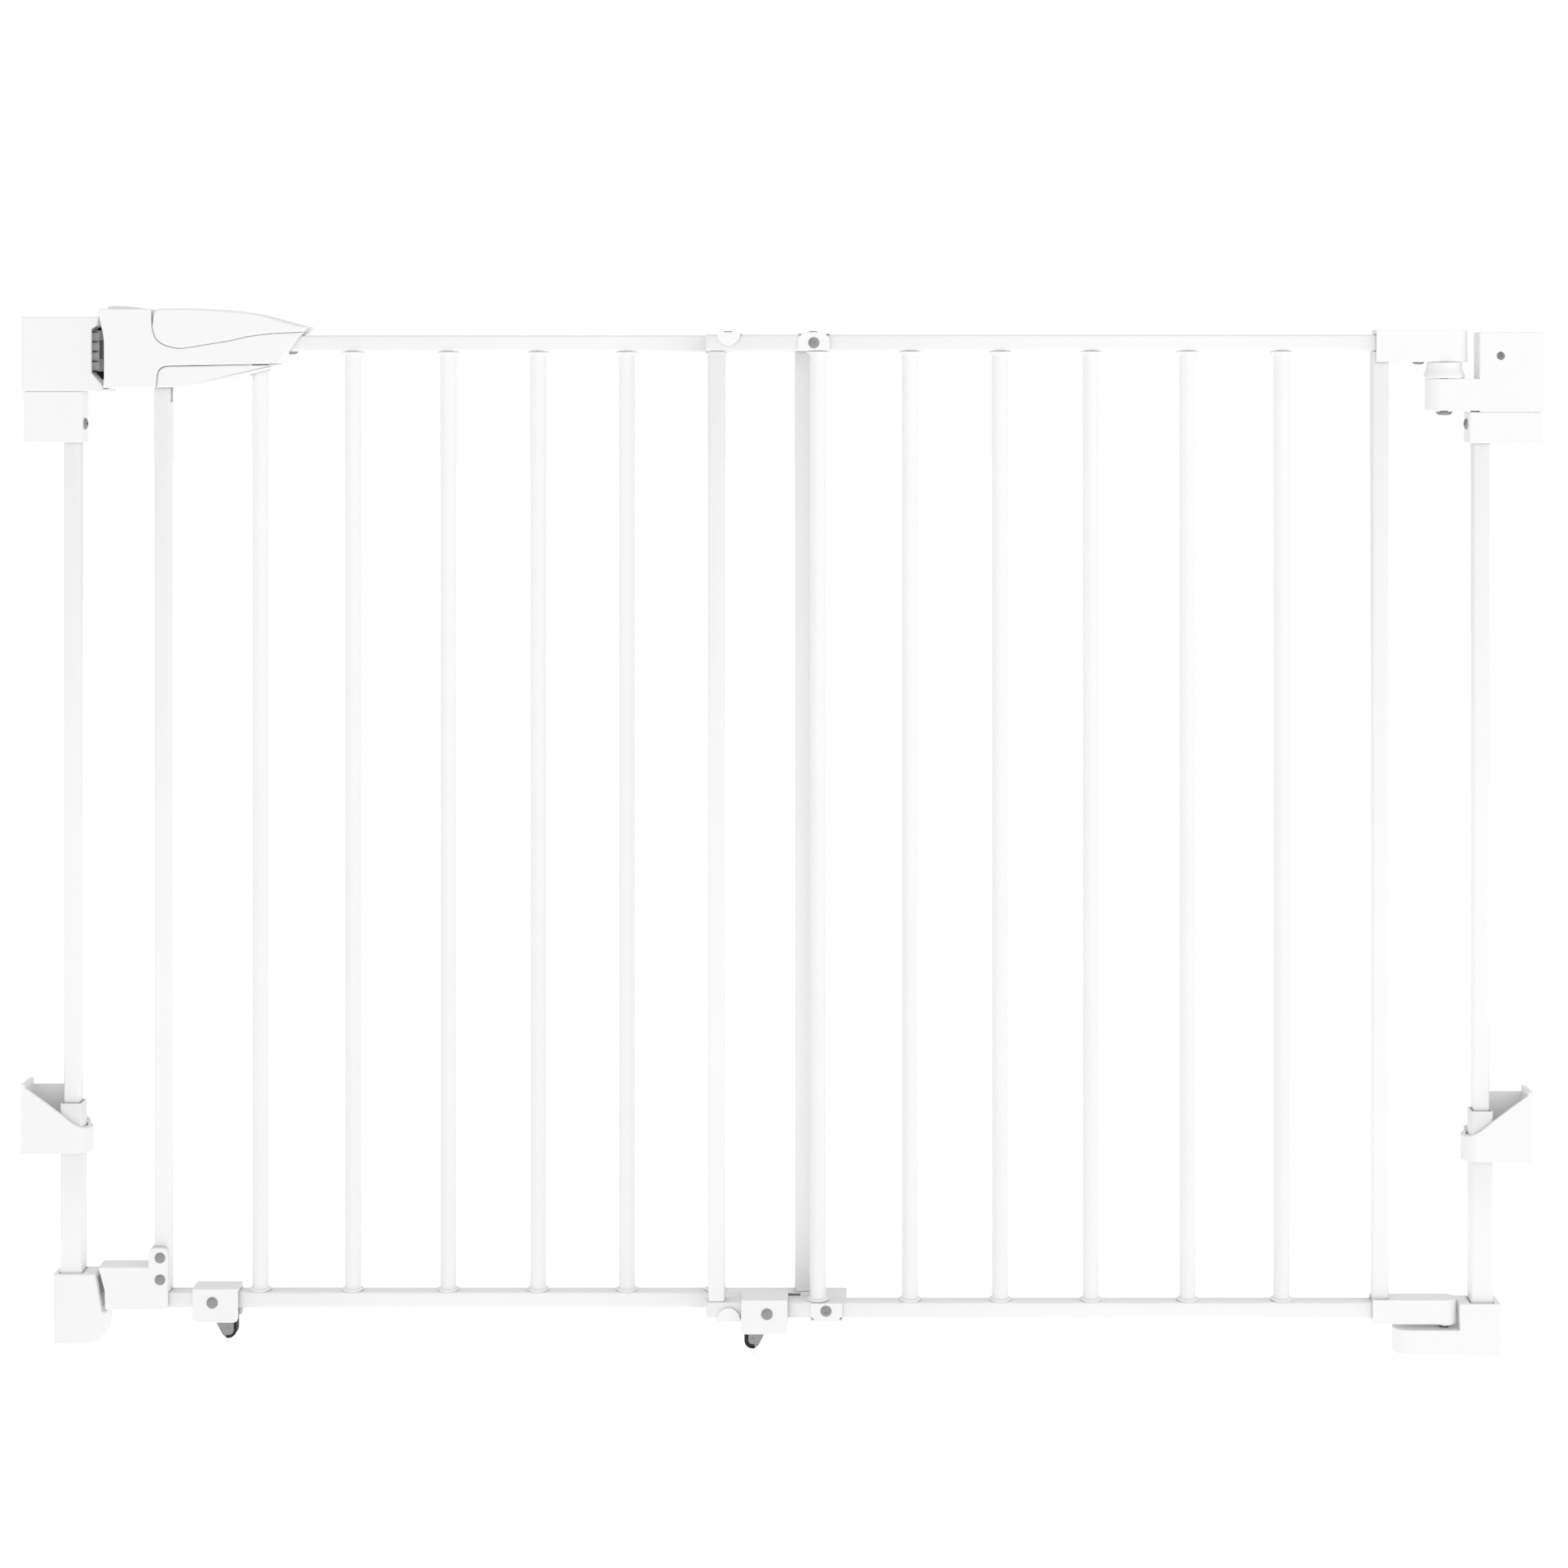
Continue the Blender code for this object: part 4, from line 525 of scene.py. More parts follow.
def tube_ring(bm, axis, place, middle, width, height, radius, steps):
    """One rounded rectangle across a tube."""
    ring = []
    corners = ((1, 1, 0), (-1, 1, 90), (-1, -1, 180), (1, -1, 270))
    for side_a, side_b, start in corners:
        centre = (side_a * (width / 2 - radius), side_b * (height / 2 - radius))
        for a, b in arc(centre, radius, start, start + 90, steps):
            if axis == "Z":
                ring.append(bm.verts.new((middle.x + a, middle.y + b, place)))
            else:
                ring.append(bm.verts.new((place, middle.y + a, middle.z + b)))
    return ring


def steel_tube(name, node, body, axis, radius, slots=()):
    """A rolled box tube with rounded edges and its ends just broken, in place of a plain one."""
    low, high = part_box(node)
    middle = (low + high) / 2
    size = high - low
    width, height = (size.x, size.y) if axis == "Z" else (size.y, size.z)
    ends = (low.z, high.z) if axis == "Z" else (low.x, high.x)
    broken = 0.35 * MM
    bm = bmesh.new()
    steps = bpy.context.scene.gate_shape.corner_steps
    shapes = [(ends[0], broken), (ends[0] + broken, 0.0), (ends[1] - broken, 0.0), (ends[1], broken),
              (ends[1], TUBE_WALL), (ends[0], TUBE_WALL)]
    rings = [tube_ring(bm, axis, place, middle, width - 2 * cut, height - 2 * cut,
                       max(radius - cut, 0.25 * MM), steps) for place, cut in shapes]
    skin(bm, rings, closed=True)
    item = new_item(name, bm)
    if slots:
        carve(item, *slots)
    return settle(shade_soft(item, 50), body, "white_steel", node)


def rail_cap(name, rail, side, body):
    """Push-in plug that closes an open rail end."""
    low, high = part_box(rail)
    middle = (low + high) / 2
    end = high.x if side > 0 else low.x
    thick = 0.9 * MM
    radius = 1.6 * MM
    sharpest = 0.3 * MM
    slack = 0.1 * MM
    plug_length = 3 * MM
    crown = 0.7 * MM
    width, height = high.y - low.y, high.z - low.z
    shapes = ((-plug_length, TUBE_WALL + slack), (0, TUBE_WALL + slack), (0, slack), (0.6 * thick, slack),
              (thick, crown))
    bm = bmesh.new()
    skin(bm, [tube_ring(bm, "X", end + side * reach, middle, width - 2 * cut, height - 2 * cut,
                        max(radius - cut, sharpest), 5) for reach, cut in shapes])
    return settle(shade_soft(new_item(name, bm)), body, "white_plastic")


def bar_profile(low, high, radius, collar, height):
    """Half section of a bar: bore, flanged collars and a fillet from each collar to the tube."""
    lip = 0.45 * MM
    fillet = min(collar - radius - lip, height) * 0.8
    end = [(collar - lip, 0.0)] + arc((collar - lip, lip), lip, -90, 60, 5)
    end += [(radius + fillet, height * 0.62)]
    end += arc((radius + fillet, height * 0.62 + fillet), fillet, 270, 180, 6)[1:]
    section = [(BAR_BORE, low)] + [(r, low + h) for r, h in end]
    return section + [(r, high - h) for r, h in reversed(end)] + [(BAR_BORE, high)]


def bar_tube(node, body):
    """A round tube welded in between its flanges."""
    shape = bpy.context.scene.gate_shape
    low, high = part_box(node)
    profile = bar_profile(low.z, high.z, shape.bar_radius, (high.x - low.x) / 2, shape.collar_height)
    middle = (low + high) / 2
    item = turned(node + "_tube", profile, (middle.x, middle.y, 0), sides=shape.round_sides, ring=True)
    return settle(item, body, "white_steel", node)


# ---------------------------------------------------------------- screws and rivets

def button_head(name, centre, axis, radius, height, body, slot="zinc", recess="hex"):
    """A domed head that looks along axis, with a hexagon or cross recess, or plain."""
    profile = [(0, -0.6 * MM), (radius, -0.6 * MM), (radius, height * 0.25)]
    profile += [(radius * math.cos(a), height * (0.25 + 0.75 * math.sin(a)))
                for a in (math.radians(15 * step) for step in range(1, 6))] + [(0, height)]
    item = turned(name, profile, (0, 0, 0), sides=40)
    depth = (height * 0.35, height * 2)
    if recess == "hex":
        carve(item, rod("cutter", radius * 0.42, depth, (0, 0, 0), sides=6))
    elif recess == "cross":
        arm, thin = radius * 0.62, radius * 0.13
        carve(item, block("cutter", (-arm, arm), (-thin, thin), depth),
              block("cutter", (-thin, thin), (-arm, arm), depth))
    item.data.transform(Matrix.Translation(centre) @ AXIS_TURNS[axis])
    return settle(shade_soft(item, 34), body, slot)


def through_rivet(name, node, body):
    """A through rivet with a domed head at each side, in place of a plainer one."""
    low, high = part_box(node)
    middle = (low + high) / 2
    half = (high.y - low.y) / 2
    head = (high.x - low.x) / 2
    cap = 1.2 * MM
    shank = 1.6 * MM
    rim = half - cap
    dome = [(head * math.cos(a), rim + cap * (0.3 + 0.7 * math.sin(a)))
            for a in (math.radians(15 * step) for step in range(6))]
    front = [(shank, rim - 0.3 * MM), (head, rim - 0.3 * MM)] + dome + [(0, half)]
    profile = [(r, -h) for r, h in reversed(front)] + front
    item = turned(name, profile, (middle.x, middle.y, middle.z), "Y")
    return settle(shade_soft(item, 34), body, "zinc", node)


# ---------------------------------------------------------------- moulded cases

def softened(node, name, body, width, segments=3, slot=None):
    """A fine copy of a node whose shape is right: joined facets and rounded edges."""
    item = bpy.data.objects.new(name, frame["nodes"][node].data.copy())
    bpy.context.scene.collection.objects.link(item)
    bm = bmesh.new()
    bm.from_mesh(item.data)
    bmesh.ops.remove_doubles(bm, verts=bm.verts, dist=1e-6)
    bmesh.ops.dissolve_limit(bm, angle_limit=math.radians(1), verts=bm.verts, edges=bm.edges)
    bm.to_mesh(item.data)
    bm.free()
    if width:
        round_edges(item, width, segments)
    else:
        shade_soft(item, 40)
    return settle(item, body, slot or CAD_SLOTS[node], node)


def tube_socket_cutter(x, y, node):
    """The well in a foot that a wall post's outer tube stands in."""
    half = node_size(node).x / 2 + 0.6 * MM
    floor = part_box(node)[0].z - TOUCH
    return block("cutter", around(x, half), around(y, half), (floor, floor + 80 * MM))


def node_size(node):
    low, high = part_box(node)
    return high - low


# ---------------------------------------------------------------- hinge side

def hinge_arm_bracket(name, node, body, slot, box_left, arm_top, arm_foot, edge):
    """A box with an arm that ends round in plan; finish_bracket rounds its edges afterwards."""
    low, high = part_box(node)
    half = (high.y - low.y) / 2
    side = [(low.x, low.z + arm_foot), (box_left, low.z + arm_foot), (box_left, low.z), (high.x, low.z),
            (high.x, high.z), (box_left, high.z), (box_left, arm_top), (low.x, arm_top)]
    item = prism(name, side, around(FRONT_Y, 2 * half))
    plan = stadium(high.x + MM, low.x, FRONT_Y, half)
    common(item, prism("plan", plan, (low.z - MM, high.z + MM), "Z"))
    return item, edge, body, slot, node


def finish_bracket(parts, *cutters):
    """Cut a bracket's holes, round its edges and set it in place."""
    item, edge, body, slot, node = parts
    carve(item, *cutters)
    return settle(round_edges(item, edge, 4), body, slot, node)


def make_hinge_top(shape):
    """Upper hinge: wall box with arm, flared bush and the sleeve that turns on the pin."""
    low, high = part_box("hinge_top_bracket")
    arm_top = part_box("hinge_bell")[0].z - TOUCH
    box_length = 43.2 * MM
    post_well = 18.3 * MM
    wall_hole = 2.8 * MM
    washer = 5.6 * MM
    washer_z = (-0.4 * MM, 0.25 * MM)
    parts = hinge_arm_bracket("hinge_top_bracket_body", "hinge_top_bracket", "root", "white_steel",
                              high.x - box_length, arm_top, BRACKET_ARM_RISE, shape.case_edge)
    post = node_size("hinge_post_inner").x / 2 + TOUCH
    hole = (HINGE_POST_X + 12.1 * MM, TOP_RAIL_Z - 8.8 * MM)
    finish_bracket(
        parts,
        rod("cutter", PIN_CLEARANCE, (low.z - MM, arm_top + MM), (HINGE_X, FRONT_Y, 0)),
        block("cutter", around(HINGE_POST_X, post), around(FRONT_Y, post), (low.z - MM, low.z + post_well)),
        rod("cutter", wall_hole, (low.y - MM, FRONT_Y), (hole[0], 0, hole[1]), "Y"))
    make_bell()
    section = [(PIN_CLEARANCE, washer_z[0]), (washer, washer_z[0]), (washer, washer_z[1]),
               (PIN_CLEARANCE, washer_z[1])]
    settle(turned("hinge_arm_washer", section, (HINGE_X, FRONT_Y, low.z), ring=True), "root", "zinc")
    top_sleeve(shape)
    post_sleeve("hinge_sleeve_body", "hinge_sleeve", "hinge_top_bracket", "hinge_post_inner", shape)


def post_sleeve(name, node, bracket, post, shape):
    """Clamp sleeve that closes up to the bracket above it, round its post."""
    x, y, z = box_of(node)
    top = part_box(bracket)[0].z - 0.05 * MM
    item = block(name, x, y, (z[0], top))
    post_x, post_y, _ = box_of(post, TOUCH)
    carve(item, block("cutter", post_x, post_y, (z[0] - MM, top + MM)))
    return settle(round_edges(item, shape.case_edge, 4), "root", "white_plastic", node)


def make_bell():
    """Flared bush with a waist, a rounded foot and a narrow shoulder."""
    low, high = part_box("hinge_bell")
    foot = (high.x - low.x) / 2
    neck = 11.7 * MM
    foot_edge = 0.7 * MM
    shoulder = 0.6 * MM
    rise = high.z - low.z
    flare = flowing([(foot, 1.6 * MM), (foot - 0.5 * MM, 0.3 * rise), (neck + 0.35 * MM, 0.56 * rise),
                     (neck, 0.72 * rise), (neck, rise - 0.9 * MM)], 6)
    profile = [(PIN_CLEARANCE, 0), (foot - foot_edge, 0), (foot, foot_edge)] + flare
    profile += arc((neck - shoulder, rise - shoulder), shoulder, 20, 90, 4) + [(PIN_CLEARANCE, rise)]
    item = turned("hinge_bell_bush", profile, (HINGE_X, FRONT_Y, low.z), sides=64, ring=True)
    return settle(item, "root", "white_plastic", "hinge_bell")


def sleeve_cavity(node, open_z):
    """Cutters that clear a front rail's end and its right post out of a sleeve."""
    rail = "front_top_rail" if node == "front_top_sleeve" else "front_bottom_rail"
    x, y, z = box_of(rail, TOUCH)
    post_x, post_y, _ = box_of("front_right_post", TOUCH)
    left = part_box(node)[0].x - MM
    return (block("cutter", (left, x[1]), y, z), block("cutter", (left, post_x[1]), post_y, open_z))


def top_sleeve(shape):
    """Sleeve on the front panel's upper corner."""
    low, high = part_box("front_top_sleeve")
    half = (high.y - low.y) / 2
    nose = 12 * MM
    plan = stadium(low.x, high.x, FRONT_Y, half, reach=nose)
    item = prism("front_top_sleeve_body", plan, (low.z, high.z), "Z")
    pin_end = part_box("hinge_top_pin")[1].z + PIN_END_GAP
    carve(item, *sleeve_cavity("front_top_sleeve", (low.z - MM, TOP_RAIL_Z)),
          rod("cutter", PIN_CLEARANCE, (low.z - MM, pin_end), (HINGE_X, FRONT_Y, 0)))
    return settle(round_edges(item, shape.case_edge * 1.5, 4), "front_panel", "white_plastic",
                  "front_top_sleeve")


def make_hinge_bottom(shape):
    """Lower hinge: foot with an arm, and the sleeve that turns over it."""
    low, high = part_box("hinge_bottom_bracket")
    arm_top = 17.2 * MM
    box_length = 27.7 * MM
    parts = hinge_arm_bracket("hinge_foot_body", "hinge_bottom_bracket", "root", "white_plastic",
                              high.x - box_length, arm_top, BRACKET_ARM_RISE, shape.case_edge)
    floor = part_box("hinge_bottom_pin")[0].z - TOUCH
    finish_bracket(
        parts,
        rod("cutter", PIN_CLEARANCE, (floor, arm_top + MM), (HINGE_X, FRONT_Y, 0)),
        tube_socket_cutter(HINGE_POST_X, FRONT_Y, "hinge_post_outer"))
    bottom_sleeve(shape)


def bottom_sleeve(shape):
    """Sleeve on the front panel's lower corner, with a cam-shaped underside round the pin."""
    low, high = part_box("front_bottom_sleeve")
    half = (high.y - low.y) / 2
    base = low.z + 1.3 * MM
    boss_radius = 6.8 * MM
    item = prism("front_bottom_sleeve_body", stadium(low.x, high.x, FRONT_Y, half), (base, high.z), "Z")
    fuse(item, rod("boss", boss_radius, (low.z, base + 2 * MM), (HINGE_X, FRONT_Y, 0)))
    pin_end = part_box("hinge_bottom_pin")[1].z + PIN_END_GAP
    carve(item, *sleeve_cavity("front_bottom_sleeve", (BOTTOM_RAIL_Z, high.z + MM)),
          rod("cutter", PIN_CLEARANCE, (low.z - MM, pin_end), (HINGE_X, FRONT_Y, 0)))
    return settle(round_edges(item, shape.case_edge, 4), "front_panel", "white_plastic",
                  "front_bottom_sleeve")


# ---------------------------------------------------------------- latch side

def make_strike_insert():
    """Wear block in the strike's mouth, with a row of thin pointed fins in black as painted shade."""
    low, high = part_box("strike_insert")
    face = low.y + 1.3 * MM
    back_wall = 2.4 * MM
    item = block("strike_insert_body", (low.x, high.x), (face, high.y), (low.z, high.z))
    bolt = box_of("top_bolt", BOLT_CLEARANCE)
    carve(item, block("cutter", (low.x + back_wall, high.x + MM), bolt[1], bolt[2]))
    settle(round_edges(item, 0.2 * MM, 2), "root", "grey_plastic", "strike_insert")
    count = 5
    pitch = 6.7 * MM
    length = 3.6 * MM
    left = low.x + 7.9 * MM
    middle = (low.z + high.z) / 2 - 0.4 * MM
    for number in range(count):
        height = middle + (number - (count - 1) / 2) * pitch
        outline = [(left, height - 0.55 * MM), (left + length, height - 0.15 * MM),
                   (left + length, height + 0.15 * MM), (left, height + 0.45 * MM)]
        # The fins are real ribs, but their black colour is painted shade: the dark shadow lines under the ribs.
        fin = prism(f"strike_fin_painted_shade_{number + 1}", outline, (low.y, face + TOUCH))
        settle(shade_soft(fin), "root", "black_rubber")
    make_mouth_painted_shade(low, high)


def make_mouth_painted_shade(low, high):
    """Dark plate behind the wear block that closes the strike's mouth at its back, in black as painted shade of
    the shadowed mouth.
    """
    strike_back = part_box("latch_strike")[1].y
    depth = (strike_back - 3.2 * MM, strike_back - 2.2 * MM)
    edge = 2 * MM
    spare = 5.5 * MM
    x = (low.x + 6 * MM, high.x)
    z = (low.z - spare, high.z + spare - 2 * MM)
    outline = [(x[0], z[0]), (x[1], z[0]), (x[1], z[1] - edge), (x[1] - edge, z[1]), (x[0], z[1])]
    item = prism("strike_mouth_painted_shade", outline, depth)
    # The black finish is painted shade: a dark sheet where the back of the mouth lies in shadow.
    return settle(shade_soft(item), "root", "black_rubber")


def make_latch(shape):
    """Strike with its wear block, sleeve, foot and the lower bolt's case with its rivets."""
    softened("latch_strike", "latch_strike_body", "root", 0.25 * MM, 2)
    make_strike_insert()
    post_sleeve("latch_sleeve_body", "latch_sleeve", "latch_strike", "latch_post_inner", shape)
    softened("latch_bottom_socket", "latch_foot_body", "root", 0.2 * MM, 2)
    softened("lower_bolt_housing", "lower_bolt_case", "rear_panel", 0.2 * MM, 2)
    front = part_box("lower_bolt_housing")[0].y
    rivet_x = REAR_LEFT_X - 0.6 * MM
    rivet_radius = 3.6 * MM
    rivet_height = 0.9 * MM
    for number, z in enumerate((59.5 * MM, 44.5 * MM), start=1):
        button_head(f"lower_bolt_rivet_{number}", (rivet_x, front, z), "-Y", rivet_radius, rivet_height,
                    "rear_panel", recess=None)


# ---------------------------------------------------------------- handle

def in_gate(points):
    """Handle outline points in the gate's own frame."""
    return [(REAR_LEFT_X + a * MM, TOP_RAIL_Z + b * MM) for a, b in points]


def shell_outline(fine=True):
    """Side of the handle body, anticlockwise from its lower left corner."""
    lever_side = [(a - LEVER_GAP * (a < 3), b + LEVER_GAP * (a >= -1)) for a, b in LEVER_TOP[:-1]][1:]
    seam = [(a - SEAM_GAP, b - SEAM_GAP) for a, b in reversed(GRIP_SEAM)]
    nose = NOSE_EDGE
    if fine:
        lever_side = flowing(lever_side[:4], 4) + lever_side[4:]
        seam = [seam[0]] + flowing(seam[1:])
        nose = NOSE_EDGE[:2] + flowing(NOSE_EDGE[2:], 4)
    lower_left = NOSE_EDGE[-1]
    lower_right = (LEVER_TOP[0][0] - LEVER_GAP, lower_left[1])
    top_right = (GRIP_TOP[-1][0] - 2, NOSE_EDGE[0][1])
    outline = [lower_left, lower_right] + lever_side + END_FACE + seam + [top_right] + nose[:-1]
    if fine:
        for corner, radius in ((NOSE_EDGE[0], 2.0), (top_right, 1.5), (END_FACE[0], 2.5)):
            outline = rounded_corner(outline, outline.index(corner), radius)
    return outline


def rail_cutter():
    """Clears the rear panel's top rail out of the handle."""
    before_post = 6 * MM
    past_handle = 110 * MM
    return box_cutter("rear_top_rail", x=(REAR_LEFT_X - before_post, REAR_LEFT_X + past_handle))


def shell_cutters():
    """What is open inside the handle body: cavity, rail, post, bar, bolt and button."""
    z = TOP_RAIL_Z
    x = REAR_LEFT_X
    half = HANDLE_HALF - SHELL_WALL
    nose = (x - 44 * MM, x - 30 * MM)
    button = (z + 15 * MM, z + 26 * MM)
    return [
        prism("cutter", in_gate(inset(shell_outline(fine=False), SHELL_WALL / MM)), around(REAR_Y, half)),
        rail_cutter(),
        box_cutter("rear_left_post", z=(z - HANDLE_DROP, z)),
        box_cutter("rear_bar_1", z=(z - HANDLE_DROP, z)),
        box_cutter("top_bolt", BOLT_CLEARANCE, x=nose),
        box_cutter("thumb_button", BUTTON_CLEARANCE, z=button),
    ]


def make_handle_shells(shape):
    """Both halves of the handle body, which meet at a parting line."""
    seam_edge = 0.15 * MM
    outline = in_gate(shell_outline())
    for name, node, span, rims in (
            ("handle_front_half", "handle_front_shell", (REAR_Y - HANDLE_HALF, REAR_Y - TOUCH / 2),
             (shape.shell_rim, seam_edge)),
            ("handle_back_half", "handle_back_shell", (REAR_Y + TOUCH / 2, REAR_Y + HANDLE_HALF),
             (seam_edge, shape.shell_rim))):
        item = rimmed(name, outline, span, rims)
        carve(item, *shell_cutters())
        settle(shade_soft(item, 42, even=True), "rear_panel", "white_plastic", node)


def make_grip_cover(shape):
    """Saddle over the handle with a broad shoulder along its top and a fine edge at the seam."""
    top = [GRIP_TOP[0]] + flowing(GRIP_TOP[1:-1], 6) + [GRIP_TOP[-1]]
    outline = flowing(GRIP_SEAM[:-1]) + [GRIP_SEAM[-1]] + top
    outline = in_gate(rounded_corner(outline, outline.index(GRIP_TOP[-1]), 3.2, 6))
    item = rimmed("grip_cover_saddle", outline, around(REAR_Y, HANDLE_HALF), (shape.cover_rim,) * 2)
    wall = 2.6
    roof = [(a, b - wall) for a, b in top if -2 < a < 85]
    inside = [(-2.0, -12), (89.0, -12), (89.0, GRIP_TOP[1][1] - wall)] + roof
    inside.append((-2.0, GRIP_TOP[-1][1] - wall))
    carve(item, prism("cutter", in_gate(inside), around(REAR_Y, HANDLE_HALF - wall * MM)), rail_cutter())
    return settle(shade_soft(item, 42, even=True), "rear_panel", "white_plastic", "grip_cover")


def make_lever(shape):
    """Squeeze lever with a rounded belly, open above for the post and the first bar."""
    belly = flowing(LEVER_BOTTOM[:0:-1]) + [LEVER_BOTTOM[0]]
    crown = flowing(LEVER_TOP[:5], 4) + [LEVER_TOP[5]]
    outline = in_gate([LEVER_TOP[0]] + belly + crown[::-1][:-1])
    item = rimmed("squeeze_lever_body", outline, around(REAR_Y, LEVER_HALF), (shape.lever_rim,) * 2)
    wall = 2.0
    above = -10
    floor = [(a, b + wall) for a, b in LEVER_BOTTOM[::-1]][:-2]
    trough = [(floor[0][0] - 1, above)] + floor + [(floor[-1][0] + 9, above)]
    z = (TOP_RAIL_Z - HANDLE_DROP, TOP_RAIL_Z + above * MM)
    post_x = (REAR_LEFT_X - 4 * MM, REAR_LEFT_X + 6.7 * MM)
    bar_x, bar_y, _ = box_of("rear_bar_1")
    bar_x = (bar_x[0] + 0.6 * MM, bar_x[1] - 1.3 * MM)
    bar_y = (bar_y[0] + 1.2 * MM, bar_y[1] - 1.2 * MM)
    carve(item, prism("cutter", in_gate(trough), around(REAR_Y, LEVER_HALF - SHELL_WALL)),
          block("cutter", post_x, around(REAR_Y, 6.3 * MM), z), block("cutter", bar_x, bar_y, z))
    return settle(shade_soft(item, 42, even=True), "squeeze_lever", "white_plastic", "squeeze_lever")


def make_button():
    """Thumb rocker with a softly crowned pad."""
    highest = BUTTON_SIDE[4][1]
    top = flowing([BUTTON_SIDE[3], (-18.0, 24.9), (-27.0, 25.7), BUTTON_SIDE[4], BUTTON_SIDE[5]], 4)
    outline = BUTTON_SIDE[:3] + [(a, min(b, highest)) for a, b in top] + BUTTON_SIDE[6:]
    item = prism("thumb_button_pad", in_gate(outline), around(REAR_Y, BUTTON_HALF))
    return settle(round_edges(item, 0.7 * MM, 4, 25), "thumb_button", "white_plastic", "thumb_button")


# ---------------------------------------------------------------- clips and width locks

def make_clips():
    """Sliding clips that hold the panels together, with their screws."""
    face_screw = (3.7 * MM, 1.0 * MM)
    edge_screw = (3.2 * MM, 0.9 * MM)
    edge_screw_offset = 0.6 * MM
    for prefix in ("front", "rear"):
        for level, side in (("top", 1), ("bottom", -1)):
            node = f"{prefix}_{level}_clip"
            body = f"{prefix}_panel"
            softened(node, node + "_strap", body, 0.25 * MM, 3)
            low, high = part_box(node)
            middle = (low + high) / 2
            rail_z = TOP_RAIL_Z if side > 0 else BOTTOM_RAIL_Z
            if prefix == "rear":
                x = middle.x + (0 if side > 0 else -0.3 * MM)
                button_head(node + "_face_screw", (x, low.y, rail_z), "-Y", *face_screw, body)
            if prefix == "front" or side > 0:
                edge, axis = (high.z, "Z") if side > 0 else (low.z, "-Z")
                button_head(node + "_edge_screw", (middle.x - edge_screw_offset, FRONT_Y, edge), axis,
                            *edge_screw, body, recess="cross")


def pawl_rubber(name, node, body, side, thick):
    """Rubber strip round a pawl's straight edge and tip. side is +1 where the pawl points to +X."""
    low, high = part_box(node)
    middle = (low + high) / 2
    tip_radius = 5.2 * MM
    proud = 0.35 * MM
    half = 4.65 * MM
    straight = high.x if side > 0 else low.x
    centre = (straight - side * tip_radius, low.z + tip_radius)
    start, end = (0, -110) if side > 0 else (180, 290)
    outer = arc(centre, tip_radius + proud, start, end, 14)
    inner = arc(centre, tip_radius - thick, start, end, 14)
    top = low.z + 12.6 * MM
    outline = [(straight + side * proud, top)] + outer + inner[::-1] + [(straight - side * thick, top)]
    item = prism(name, outline, around(middle.y, half))
    return settle(round_edges(item, 0.25 * MM, 2), body, "black_rubber")


def make_locks():
    """Width locks: housings, rivets, pawls with rubber edges and the adjusting stud."""
    for prefix, side, thick in (("rear", 1, 1.5 * MM), ("front", -1, 2.4 * MM)):
        housing = f"{prefix}_lock_housing"
        panel = f"{prefix}_panel"
        pawl = f"{prefix}_pawl"
        softened(housing, housing + "_case", panel, 0.25 * MM, 3)
        through_rivet(f"{prefix}_lock_rivet_heads", f"{prefix}_lock_rivet", panel)
        softened(pawl, pawl + "_plate", pawl, 0.2 * MM, 2)
        pawl_rubber(pawl + "_rubber", pawl, pawl, side, thick)
        low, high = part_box(pawl)
        stud_x = (high.x if side > 0 else low.x) - side * 5.4 * MM
        stud_y = (low.y + high.y) / 2 - 4.2 * MM
        button_head(pawl + "_stud", (stud_x, stud_y, low.z + 6.2 * MM), "-Y", 0.8 * MM, 0.3 * MM, pawl,
                    recess=None)
    threaded_stud()


def threaded_stud():
    """Short adjusting stud that looks out of the front lock, between the two rails."""
    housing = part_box("front_lock_housing")
    pitch = 0.8 * MM
    start = housing[1].x - 2 * MM
    length = 10.5 * MM
    root = 0.8 * MM
    crest = 1.05 * MM
    turns = int(length / pitch)
    profile = [(0, 0)]
    for turn in range(turns):
        profile += [(root, turn * pitch), (crest, (turn + 0.5) * pitch)]
    profile += [(root, turns * pitch), (0, turns * pitch)]
    place = (start, FRONT_Y + 9.8 * MM, BOTTOM_RAIL_Z + RAIL_HALF + 0.4 * MM)
    item = turned("lock_adjusting_stud", profile, place, "X", 20)
    return settle(shade_soft(item, 25), "front_panel", "zinc")


# ---------------------------------------------------------------- wall scoops

SCOOP_CUP = [(3.0, 176.0), (14.8, 167.6), (26.0, 159.2), (36.0, 151.4), (45.6, 147.6), (60.0, 147.6)]
SCOOP_BACK = [(3.0, 174.4), (27.0, 174.4), (40.5, 151.4), (60.0, 147.6)]


def scoop_sweep(profile, x_wall, side, y, top):
    """Everything above a profile of (distance from the wall, height) points."""
    points = [(x_wall + side * a * MM, b * MM) for a, b in profile]
    points += [(points[-1][0], top), (points[0][0], top)]
    return prism("cutter", points, y)


